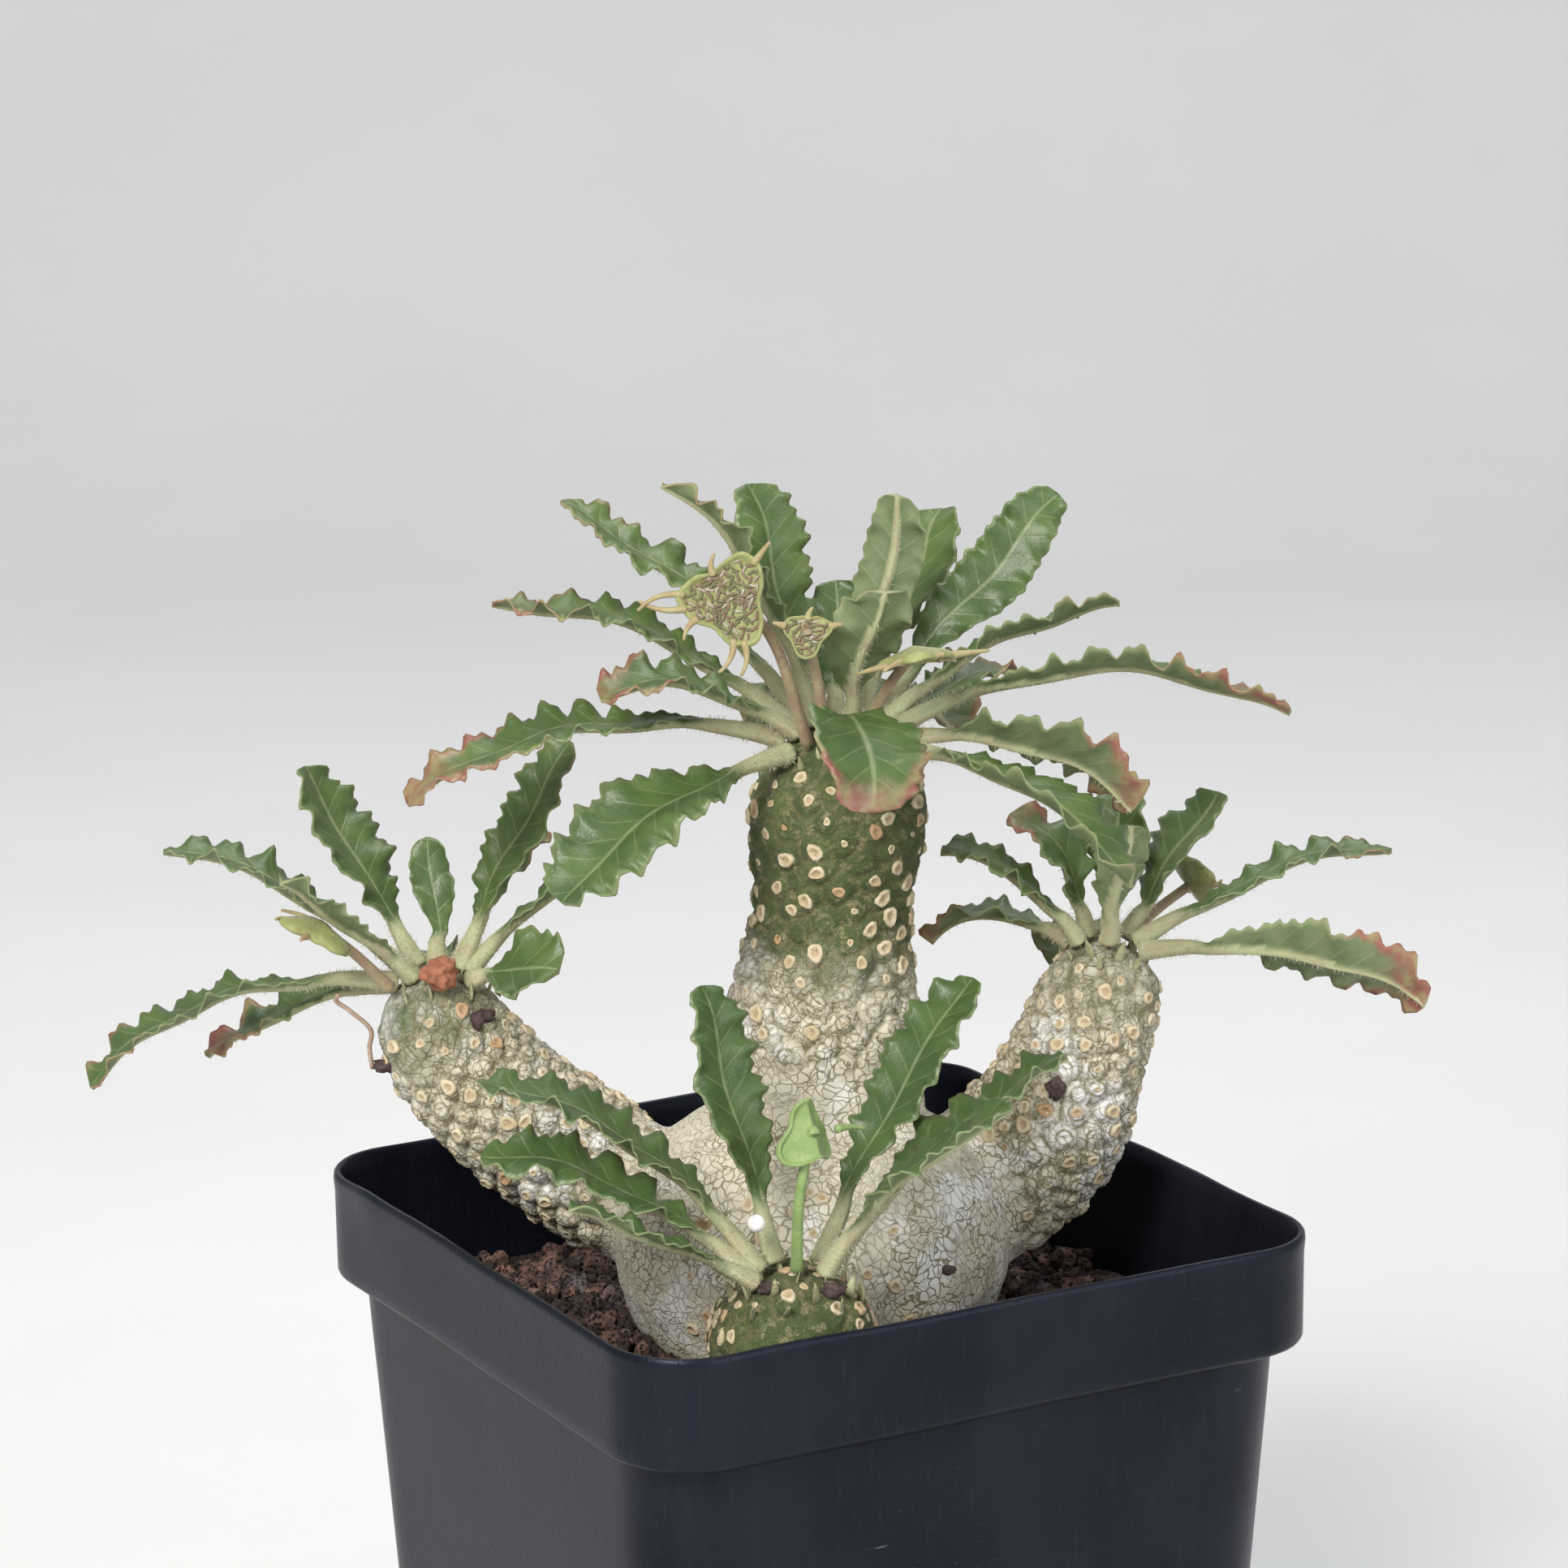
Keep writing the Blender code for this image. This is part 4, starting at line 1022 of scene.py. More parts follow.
def build_pot(settings):
    """Square pot with its stepped band and four drain holes, in thin bowed plastic."""
    rings = [square_ring(*row) for row in pot_profile()]
    count = len(rings[0])
    verts = [bow(point, settings.wave) for ring in rings for point in ring]
    faces = ring_faces(len(rings), count)
    last = (len(rings) - 1) * count
    faces.append(tuple(range(count))[::-1])
    faces.append(tuple(last + k for k in range(count)))
    pot = new_object("nursery_pot", verts, faces)
    holes = bmesh.new()
    for sx in (-1, 1):
        for sy in (-1, 1):
            place = Matrix.Translation((sx * DRAIN_OFFSET, sy * DRAIN_OFFSET, 0))
            bmesh.ops.create_cone(holes, cap_ends=True, segments=40, radius1=DRAIN_RADIUS,
                                  radius2=DRAIN_RADIUS, depth=8 * MM, matrix=place)
    cutter = new_object("hole_cutter", [], [])
    holes.to_mesh(cutter.data)
    holes.free()
    cut = pot.modifiers.new("drain holes", "BOOLEAN")
    cut.operation = "DIFFERENCE"
    cut.solver = "EXACT"
    cut.object = cutter
    evaluated(pot)
    bpy.data.objects.remove(cutter)
    pot.data.shade_smooth()
    pot.data.set_sharp_from_angle(angle=math.radians(50))
    dress(pot, material("satin pot plastic", pot_plastic, settings))
    settle(pot, "pot_plastic", "pot")


def soil_height(x, y):
    """Height of the soil's lumpy top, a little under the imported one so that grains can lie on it."""
    wave = math.sin(x * 310.0 + 1.1) * math.cos(y * 270.0 - 0.4) + 0.6 * math.sin((x + y) * 520.0)
    return SOIL_TOP + SOIL_BUMP * wave - 0.4 * MM


def soil_patch(name, half, cells, lift=0.0):
    """Square patch that follows the soil's lumpy top."""
    verts, faces = [], []
    for j in range(cells + 1):
        for i in range(cells + 1):
            x, y = half * (2 * i / cells - 1), half * (2 * j / cells - 1)
            verts.append(Vector((x, y, soil_height(x, y) + lift)))
    straight = half - POT_CORNER
    for j in range(cells):
        for i in range(cells):
            a = j * (cells + 1) + i
            reach = Vector([max(0.0, abs(c) - straight) for c in verts[a][:2]]).length
            if reach < POT_CORNER - half / cells:
                faces.append((a, a + 1, a + cells + 2, a + cells + 1))
    return new_object(name, verts, faces)


def build_soil(settings):
    """Bed of soil with three sizes of grain over it."""
    finish = material("porous soil grit", soil_grit, settings)
    bed = dress(packed_copy("soil_bed", "soil"), finish)
    put_attribute(bed.data, "tint", [0.12] * len(bed.data.vertices))
    tree = tree_of("scattered grains", make_grain_tree)
    half = POT_HALF - 6.4 * MM
    parts = [bed]
    for label, share, spacing, least, lift, seed in GRAIN_LAYERS:
        patch = soil_patch("grains_" + label, half + (1 - share) * 2.0 * MM, 60, lift * MM)
        parts.append(grown(patch, tree, {
            "Grain Radius": settings.grain * share, "Spacing": spacing * MM, "Least Size": least,
            "Roughness": 0.55 * MM * share, "Seed": seed, "Material": finish,
        }))
    settle(join("soil_mix", *parts), "soil_grit", "soil")


# ---------------------------------------------------------------- stems


def stem_samples():
    """Points along every stem's axis: head, place, radius, share of its length and run from its foot."""
    samples = []
    for head in STEMS:
        rows = stem_points(head)
        places = smooth_route([row[0] for row in rows], 12)
        radii = smooth_route([Vector((row[1], 0, 0)) for row in rows], 12)
        runs = [0.0]
        for before, place in zip(places, places[1:]):
            runs.append(runs[-1] + (place - before).length)
        for place, radius, run in zip(places, radii, runs):
            samples.append((head, PLANT @ place, radius.x, run / runs[-1], run))
    return samples


def scar_lattice(skin, samples):
    """Where old leaves sat, wound up each stem at the golden angle: head, place, outward aim and share."""
    spots = []
    rng = random.Random(17)
    for head, (low, high) in SCAR_SPANS.items():
        line = [s for s in samples if s[0] == head]
        total = line[-1][4]
        tip, radius = line[-1][1], line[-1][2]
        onward = (tip - line[-2][1]).normalized()
        for extra in (0.2, 0.4, 0.6, 0.75):
            beyond = extra * radius
            line.append((head, tip + onward * beyond, radius, 1 + beyond / total, total + beyond))
        run, serial, at = low * total, 0, 0
        while run < high * total:
            while at < len(line) - 2 and line[at + 1][4] < run:
                at += 1
            here, radius = line[at][1], line[at][2]
            step = line[at + 1][1] - here
            here = here + step * ((run - line[at][4]) / max(step.length, 1e-6))
            ahead = step.normalized()
            side = ahead.orthogonal().normalized()
            turn = math.radians(GOLDEN_ANGLE * serial + rng.uniform(-7, 7))
            out = side * math.cos(turn) + ahead.cross(side) * math.sin(turn)
            hit, spot, normal, _ = skin.ray_cast(here + out * 2.2 * radius, -out, distance=2.2 * radius)
            if hit:
                spots.append((head, spot, normal, run / total))
            serial += 1
            run += (SCAR_SPACING[head] * MM) ** 2 / (2 * math.pi * radius)
    return spots


def field(points, scale, shift=(0, 0, 0)):
    """Noise at every point."""
    return np.array([noise.noise(Vector(p) * scale + Vector(shift)) for p in points])


def distances(points, places):
    """Distance from every point to every place, in blocks of rows that fit in memory."""
    for start in range(0, len(points), 2000):
        block = slice(start, start + 2000)
        yield block, np.linalg.norm(points[block, None, :] - places[None], axis=2)


def build_caudex(settings):
    """Skin of the swollen base and its stems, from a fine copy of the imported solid."""
    skin = packed_copy("caudex_skin", "caudex")
    remesh = skin.modifiers.new("even skin", "REMESH")
    remesh.mode = "VOXEL"
    remesh.voxel_size = 0.5 * MM
    relax = skin.modifiers.new("soft creases", "SMOOTH")
    relax.iterations = 14
    evaluated(skin)
    mesh = skin.data
    count = len(mesh.vertices)
    co = np.empty(count * 3, dtype=np.float32)
    mesh.vertices.foreach_get("co", co)
    co = co.reshape(-1, 3).astype(float)
    normal = np.array([tuple(n.vector) for n in mesh.vertex_normals])

    # The stem that each point belongs to, its share along it and how young its skin is.
    samples = stem_samples()
    lattice = scar_lattice(skin, samples)
    radius = np.array([sample[2] for sample in samples])
    best = np.empty(count, dtype=int)
    for block, gap in distances(co, np.array([tuple(sample[1]) for sample in samples])):
        best[block] = (gap - radius[None]).argmin(1)
    span = np.array([YOUNG_SPANS[sample[0]] for sample in samples])[best]
    along = np.array([sample[3] for sample in samples])[best]
    from_bulb = np.linalg.norm(co - np.array(PLANT @ BULB_CENTRE), axis=1) / BULB_RADIUS
    off_bulb = smooth_step(0.99, 1.12, from_bulb)
    young = smooth_step(span[:, 0], span[:, 1], along) * off_bulb

    # Plates round the old leaf scars, with grooves between them and a crater in each.
    near = np.empty((count, 2))
    for block, gap in distances(co, np.array([tuple(seat[1]) for seat in lattice])):
        near[block] = np.sort(np.partition(gap, 1, axis=1)[:, :2], axis=1)
    nearest, border = near[:, 0], near[:, 1] - near[:, 0]
    plated = off_bulb * smooth_step(4.2 * MM, 2.6 * MM, nearest)
    groove = (1 - smooth_step(0.0, 0.9 * MM, border)) * plated
    dome = (1 - np.clip(nearest / (2.1 * MM), 0, 1) ** 2) * plated
    crater = np.exp(-(((nearest - 0.95 * MM) / (0.3 * MM)) ** 2)) * plated
    flat = 1 - 0.35 * young
    lift = settings.relief * (dome - 0.8 * groove + 0.35 * crater) * flat

    # Warts on the stems, lumps all over, and upright folds on the swollen base.
    lift += 0.22 * MM * np.clip(field(co, 640, (2, 7, 1)), 0, 1) * off_bulb
    folds = field(co * np.array((1, 1, 0.45)), 130, (1, 8, 3))
    lift += 0.5 * MM * field(co, 75, (9, 2, 4)) + 0.2 * MM * field(co, 420)
    lift += (1 - off_bulb) * 0.3 * MM * folds
    co += normal * (lift * np.where(along > 0.97, 0.75, 1.0))[:, None]
    mesh.vertices.foreach_set("co", co.astype(np.float32).ravel())
    put_attribute(mesh, "young", young)
    put_attribute(mesh, "groove", groove * flat)
    put_attribute(mesh, "mark", nearest / (3.1 * MM))
    put_attribute(mesh, "plated", plated * (1 - 0.6 * young))
    put_attribute(mesh, "low", smooth_step(SOIL_TOP + 9 * MM, SOIL_TOP, co[:, 2]))
    mesh.update()
    mesh.shade_smooth()
    dress(skin, material("corky bark", corky_bark, settings))
    settle(skin, "bark", "caudex")
    return skin, lattice


def lathe_disc():
    """Small round scar: a low rim round a dimple, with its heart marked."""
    profile = ((0.3, 0.06), (0.55, 0.24), (0.78, 0.34), (1.0, 0.1), (1.06, -0.3))
    sides, rings = 14, len(profile)
    verts, hearts = [Vector((0, 0, 0.02))], [1.0]
    for ring, (reach, height) in enumerate(profile):
        for turn in around(sides):
            uneven = 0.13 * math.cos(2 * turn) + 0.08 * math.sin(3 * turn + 1) + 0.06 * math.cos(5 * turn)
            r = reach * (1 + uneven)
            z = height + 0.05 * math.sin(4 * turn)
            verts.append(Vector((r * math.cos(turn), r * math.sin(turn), z)))
            hearts.append(max(0.0, 1 - ring / 2.2))
    faces = [(0, 1 + k, 1 + (k + 1) % sides) for k in range(sides)]
    faces += ring_faces(rings, sides, 1, True)
    foot = 1 + (rings - 1) * sides
    faces.append(tuple(foot + k for k in range(sides))[::-1])
    disc = new_object("scar_shape", verts, faces)
    put_attribute(disc.data, "heart", hearts)
    return disc


def build_scars(skin, lattice):
    """Round cream scars on the younger bark, each on its own plate."""
    rng = random.Random(23)
    spots = []
    for head, place, normal, share in lattice:
        cream_from, kept, size = CREAM_SCARS[head]
        if rng.random() > kept * (1.0 if share > cream_from else OLD_SCARS_KEPT):
            continue
        hit, spot, aim, _ = skin.closest_point_on_mesh(place)
        if hit:
            scale = size * MM * rng.uniform(0.4, 1.15)
            spots.append((spot, (aim + normal).normalized(), scale, rng.uniform(0, ANY_TURN), rng.random()))
    scars = plant_shapes("leaf_scars", spots, lathe_disc(), 0.12, 4, material("leaf scar cork", scar_cork))
    settle(scars, "bark")


def scale_shape():
    """Small pointed bud scale, curved over its own back."""
    verts = []
    sides, rows = 6, 5
    for i in range(rows):
        t = i / rows
        width = 0.38 * math.sin(math.pi * (0.28 + 0.72 * t)) ** 0.8
        for turn in around(sides):
            back = 0.4 * width * math.sin(turn) - 0.3 * t * t
            verts.append(Vector((width * math.cos(turn), back, 1.6 * t - 0.2)))
    verts.append(Vector((0, -0.34, 1.6)))
    top = (rows - 1) * sides
    faces = ring_faces(rows, sides)
    faces += [(top + k, top + (k + 1) % sides, rows * sides) for k in range(sides)]
    faces.append(tuple(range(sides))[::-1])
    return new_object("scale_shape", verts, faces)


def build_crowns():
    """Pale bud scales crowded between the leaf stalks of each head."""
    rng = random.Random(5)
    spots = []
    for head, count in SCALE_COUNTS.items():
        centre, radius = stem_points(head)[-1]
        for i in range(count):
            lift = 1 - (i + 0.5) / count * 0.42
            turn = math.radians(GOLDEN_ANGLE * i)
            flat = math.sqrt(max(0.0, 1 - lift * lift))
            out = Vector((flat * math.cos(turn), flat * math.sin(turn), lift))
            aim = PLANT.to_3x3() @ (out + Vector((0, 0, 1.6))).normalized()
            place = PLANT @ (centre + out * radius * 0.97)
            size = rng.uniform(0.8, 1.7) * MM
            spots.append((place, aim, size, rng.uniform(0, ANY_TURN), rng.random()))
    finish = tissue("bud scale", flower_flesh, (0.36, 0.37, 0.2), (0.22, 0.2, 0.1))
    settle(plant_shapes("bud_scales", spots, scale_shape(), 0.35, 9, finish), "leaf_green")


# ---------------------------------------------------------------- leaves


def leaf_course(row, centre, radius, steps):
    """Midrib of a leaf in the plant's frame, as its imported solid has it: place, side and upper."""
    heading, rise, droop, length, _, swing, roll, _ = row
    seat = SEAT_LOW + SEAT_RISE * rise
    place = centre + direction(heading, seat) * (radius + SEAT_GAP)
    course = []
    for step in range(steps + 1):
        share = step / steps
        along = direction(heading + swing * share, rise - droop * share ** 1.2)
        side = direction(heading + swing * share + 90.0, 0.0)
        side = Matrix.Rotation(math.radians(roll) * min(share / ROLL_SHARE, 1.0), 3, along) @ side
        course.append((place.copy(), side, along.cross(side)))
        middle = (step + 0.5) / steps
        ahead = direction(heading + swing * middle, rise - droop * middle ** 1.2)
        place = place + ahead * (length * MM / steps)
    return course


def blade_half(row, share):
    """Half width of the blade at a share of the leaf's length."""
    along = (share - PETIOLE_SHARE) / (1 - PETIOLE_SHARE)
    if along <= 0.0 or along >= 1.0:
        return 0.0
    fullness = 0.8 if along < 0.58 else 0.33
    return 0.51 * MM * row[4] * math.sin(math.pi * along ** 1.27) ** fullness


def margin_waves(rng, length, steps):
    """Uneven waves along one margin: height, its share and a finer crimp at each station."""
    shift = rng.uniform(0, 100)
    phase, fine_phase, waves = rng.uniform(0, ANY_TURN), rng.uniform(0, ANY_TURN), []
    for step in range(steps + 1):
        arc = length * step / steps
        uneven = noise.noise(Vector((arc / (5 * MM), shift, 0)))
        uneven_fine = noise.noise(Vector((arc / (2 * MM), shift, 9)))
        phase += 2 * math.pi * (length / steps) / ((4.7 + 2.0 * uneven) * MM)
        fine_phase += 2 * math.pi * (length / steps) / ((1.9 + 0.9 * uneven_fine) * MM)
        amount = 0.7 + 1.2 * noise.noise(Vector((arc / (4 * MM), shift, 5)))
        wave = 0.85 * math.sin(phase) + 0.7 * noise.noise(Vector((arc / (2.4 * MM), shift, 3)))
        waves.append((wave, max(0.15, amount), 0.6 * math.sin(fine_phase) + 0.7 * uneven_fine))
    return waves


# Stations across a blade, closer together near its midrib.
ACROSS = [math.copysign(abs(k / 9) ** 1.45, k / 9) for k in range(-9, 10)]


def leaf_faces(steps, count):
    """Faces of a leaf's closed body: both sheets, both margins and both ends."""
    faces = []
    ring = 2 * count
    for step in range(steps):
        a, b = step * ring, (step + 1) * ring
        for k in range(count - 1):
            faces.append((a + k, a + k + 1, b + k + 1, b + k))
            faces.append((a + count + k + 1, a + count + k, b + count + k, b + count + k + 1))
        faces.append((a + count, a, b, b + count))
        faces.append((a + count - 1, a + ring - 1, b + ring - 1, b + count - 1))
    end = steps * ring
    for k in range(count - 1):
        faces.append((k + 1, k, count + k, count + k + 1))
        faces.append((end + k, end + k + 1, end + count + k + 1, end + count + k))
    return faces


def build_leaf(name, node, row, centre, radius, seed, settings):
    """One leaf as a closed body: round stalk, keeled midrib, quilted blade and a crisped margin."""
    rng = random.Random(seed)
    length, blush = row[3] * MM, row[7]
    steps = max(44, int(length / LEAF_STEP))
    phases = [rng.uniform(0, ANY_TURN) for _ in range(6)]
    bend_length = rng.uniform(14, 20) * MM
    twist = math.radians(rng.uniform(-14, 14))
    curl = rng.uniform(-0.3, 0.1)
    crisp = [margin_waves(rng, length, steps) for _ in range(2)]
    shade = rng.uniform(0.3, 1.0) * (0.35 if name.startswith("foliage_front") else 1.0)
    verts = []
    rows = {"upper": [], "across": [], "vein": [], "stalk": [], "blush": [], "downy": [], "shade": []}
    for step, (place, side, upper) in enumerate(leaf_course(row, centre, radius, steps)):
        share = step / steps
        arc = share * length
        is_blade = float(smooth_step(PETIOLE_SHARE, PETIOLE_SHARE + STALK_END, share))
        rib = (1.12 - 0.82 * share + 0.3 * max(0.0, 1 - share / PETIOLE_SHARE)) * MM
        half = max(blade_half(row, share), rib * (1.0 if share < 0.6 else 0.6))
        spin = Matrix.Rotation(twist * share * share, 3, side.cross(upper))
        side, upper = spin @ side, spin @ upper
        envelope = is_blade * min(1.0, half / (3.2 * MM)) * (0.75 + 0.35 * share)
        sway = math.sin(2 * math.pi * arc / bend_length + phases[0]) * is_blade * (0.25 + 0.75 * share)
        veer = is_blade * math.sin(2 * math.pi * arc / (1.3 * bend_length) + phases[1])
        place = place + upper * 0.55 * MM * sway + side * 0.5 * MM * veer
        for sheet in (1, -1):
            for a in ACROSS:
                reach = a * half
                away = abs(a)
                wave, amount, small = crisp[a > 0][step]
                crimp = amount * wave * away ** 2.1 + 0.5 * small * away ** 5
                edge = float(smooth_step(0.4, 1.0, away))
                tooth = 1 + is_blade * edge * (0.075 * small + 0.02 * wave * amount + 0.02)
                vein = arc / VEIN_GAP - abs(reach) * VEIN_LEAN / VEIN_GAP + (0.5 if a > 0 else 0.0)
                pillow = -math.sin(math.pi * min(away, 1.0)) ** 0.7
                quilt = 0.07 * MM * is_blade * math.cos(2 * math.pi * vein) * pillow
                lift = abs(reach) * math.sin(FOLD) * is_blade + settings.ruffle * envelope * crimp
                lift += quilt + curl * is_blade * reach * away * away
                keel = math.sqrt(max(0.0, 1 - min(1.0, abs(reach) / rib) ** 2))
                if sheet > 0:
                    thick = 0.85 * (1 - is_blade) + 0.1 * is_blade
                else:
                    thick = 0.95 - 0.15 * is_blade
                body = (0.22 - 0.12 * away) * MM * is_blade + keel * rib * thick
                spread = reach * tooth * math.cos(FOLD * is_blade)
                verts.append(PLANT @ (place + side * spread + upper * (lift + sheet * body)))
                narrow = half < RIB_REACH and is_blade < 1
                on_rib = float(keel > 0.05 and sheet < 0)
                tip = smooth_step(0.62, 1.02, share)
                tip += 0.5 * smooth_step(0.5, 1.0, away) * smooth_step(0.3, 0.9, share)
                rows["upper"].append(1.0 if sheet > 0 else 0.0)
                rows["across"].append(away * half / RIB_REACH if narrow else away)
                rows["vein"].append(vein)
                rows["stalk"].append(max(1 - is_blade, 0.95 * on_rib))
                rows["blush"].append(float(blush * min(1.0, tip)))
                rows["shade"].append(shade)
                rows["downy"].append(max(1 - is_blade, 0.6 * on_rib) if 0 < step < steps else 0.0)
    leaf = new_object(name, verts, leaf_faces(steps, len(ACROSS)))
    for label, values in rows.items():
        put_attribute(leaf.data, label, values)
    dress(leaf, material("leaf flesh", leaf_flesh, settings))
    mesh = bmesh.new()
    mesh.from_mesh(leaf.data)
    bmesh.ops.recalc_face_normals(mesh, faces=mesh.faces)
    mesh.to_mesh(leaf.data)
    mesh.free()
    down = tissue("pale down", flower_flesh, (0.6, 0.58, 0.44), (0.45, 0.42, 0.3))
    grown(leaf, tree_of("downy hairs", make_down_tree), {"Seed": seed, "Material": down})
    settle(leaf, "leaf_green", node)


# ---------------------------------------------------------------- flowers


def flower_frame(flower):
    """Matrix of a flower's disc in the plant's frame; its face looks along +Z."""
    stalk, face, *_ = flower
    z = direction(*face)
    x = Vector((0, 0, 1)).cross(z).normalized()
    turn = Matrix((x, z.cross(x), z)).transposed()
    return Matrix.Translation(Vector(stalk[-1]) * MM + z * 0.6 * MM) @ turn.to_4x4()


def lobed(radius, lobe_angle, turn):
    """Radius of a three-lobed disc at a turn."""
    return radius * (0.92 + 0.2 * math.cos(3 * (turn - math.radians(lobe_angle))))


def disc_body(place, radius, lobe_angle, seed, fold):
    """Fleshy lobed disc: flat face, crisp raised rim and a domed back that runs into the stalk."""
    profile = ((0.4, 0.0), (0.84, -0.02), (0.9, 0.12), (0.95, 0.5), (1.0, 0.58), (1.04, 0.35), (1.03, 0.05),
               (0.93, -0.4), (0.72, -0.85), (0.42, -1.2), (0.2, -1.5))
    sides, rows = 72, len(profile)
    depth = 0.9 if radius > 3 else 0.7
    verts = []
    for row, (reach, height) in enumerate(profile):
        outer = float(smooth_step(0.7, 1.0, reach))
        for turn in around(sides):
            rough = noise.noise(Vector((math.cos(turn) * 2.3 + seed, math.sin(turn) * 2.3, row * 0.2)))
            crimp = noise.noise(Vector((math.cos(turn) * 7 + seed, math.sin(turn) * 7, 4)))
            r = lobed(radius, lobe_angle, turn) * MM * (reach + outer * (0.07 * rough + 0.03 * crimp))
            z = MM * height * depth + outer * 0.35 * MM * rough
            z -= fold * abs(r * math.cos(turn))
            verts.append(place @ Vector((r * math.cos(turn), r * math.sin(turn), z)))
    faces = ring_faces(rows, sides, 0, True)
    verts += [place @ Vector((0, 0, 0.05 * MM)), place @ Vector((0, 0, -1.6 * MM))]
    top, foot, last = len(verts) - 2, len(verts) - 1, (rows - 1) * sides
    for k in range(sides):
        faces.append((top, k, (k + 1) % sides))
        faces.append((foot, last + (k + 1) % sides, last + k))
    return verts, faces


def floret_shape():
    """Short blunt dash with a cleft, the size of one floret."""
    spine = [Vector((t, 0.08 * math.sin(3 * t), 0.1 - 0.1 * t * t)) for t in (-0.9, -0.5, 0.0, 0.5, 0.9)]
    return new_object("floret_shape", *tube(spine, (0.2, 0.34, 0.3, 0.34, 0.2), 8))


def flower_arm(place, foot, turn, length, rng):
    """One tapering arm that leaves the rim of a disc and bends as it goes."""
    bend = rng.uniform(-0.25, 0.25)
    rise = rng.uniform(0.05, 0.35)
    points = []
    for i in range(9):
        t = i / 8
        angle = turn + bend * t * t
        r = foot + (length + 0.6) * MM * t
        z = (0.25 + rise * length * t * t) * MM
        points.append(place @ Vector((r * math.cos(angle), r * math.sin(angle), z)))
    radii = [(0.52 - 0.34 * (i / 8) ** 0.8) * MM for i in range(9)]
    return new_object("arm", *tube(points, radii, 10))


def build_flower(name, node, flower, seed):
    """One flower: lobed disc, its arms, its stalk and the florets on its face."""
    stalk, _, radius, lobe_angle, arms = flower
    rng = random.Random(seed)
    is_young = name.endswith("front_01")
    place = PLANT @ flower_frame(flower)
    rim_finish = tissue("flower rim", flower_flesh, (0.3, 0.32, 0.11), (0.2, 0.21, 0.075))
    arm_finish = tissue("flower arm", flower_flesh, (0.32, 0.32, 0.14), (0.33, 0.22, 0.11))
    stalk_finish = tissue("flower stalk", flower_flesh, (0.3, 0.25, 0.13), (0.22, 0.14, 0.085))
    if is_young:
        rim_finish = tissue("young flower", flower_flesh, (0.25, 0.34, 0.12), (0.17, 0.26, 0.075))
        stalk_finish = arm_finish = rim_finish
    body = new_object(name, *disc_body(place, radius, lobe_angle, seed, 0.75 if is_young else 0.0))
    parts = [dress(body, rim_finish)]
    for turn_degrees, length in arms:
        if is_young and length < YOUNG_ARM_LEAST:
            continue
        turn = math.radians(turn_degrees)
        foot = lobed(radius, lobe_angle, turn) * MM * 0.92
        parts.append(dress(flower_arm(place, foot, turn, length, rng), arm_finish))
    route = smooth_route([PLANT @ (Vector(p) * MM) for p in stalk] + [place @ Vector((0, 0, -0.2 * MM))], 8)
    last = len(route) - 1
    radii = [STALK_RADIUS * (1.25 - 0.25 * math.sin(math.pi * i / last)) for i in range(last + 1)]
    parts.append(dress(new_object("stem", *tube(route, radii, 12)), stalk_finish))
    count = 0 if is_young else int(5.2 * radius * radius)
    aim = place.to_3x3() @ Vector((0, 0, 1))
    spots = []
    for i in range(count):
        turn = math.radians(GOLDEN_ANGLE * i)
        r = lobed(radius, lobe_angle, turn) * MM * (math.sqrt((i + 0.5) / count) * 0.89)
        spot = place @ Vector((r * math.cos(turn), r * math.sin(turn), 0.05 * MM))
        spots.append((spot, aim, rng.uniform(0.42, 0.62) * MM, rng.uniform(0, ANY_TURN), rng.random()))
    if spots:
        finish = material("floret flesh", floret_flesh)
        parts.append(plant_shapes("florets", spots, floret_shape(), 0.25, seed, finish))
    for part in parts[1:]:
        part.data.shade_smooth()
    settle(join(name, *parts), "flower_green", node)


# ---------------------------------------------------------------- small dry pieces


def lumpy_ball(name, centre, radii, seed, rough, scale, level=4):
    """Ball with uneven radii and wrinkles."""
    mesh = bmesh.new()
    bmesh.ops.create_icosphere(mesh, subdivisions=level, radius=1.0)
    for vert in mesh.verts:
        wrinkle = noise.noise(vert.co * scale + Vector((seed, 0, 0)))
        vert.co *= 1 + rough * wrinkle
        vert.co = Vector((vert.co.x * radii[0], vert.co.y * radii[1], vert.co.z * radii[2])) * MM
        vert.co = PLANT @ (Vector(centre) * MM + vert.co)
    ball = new_object(name, [], [])
    mesh.to_mesh(ball.data)
    mesh.free()
    ball.data.shade_smooth()
    return ball


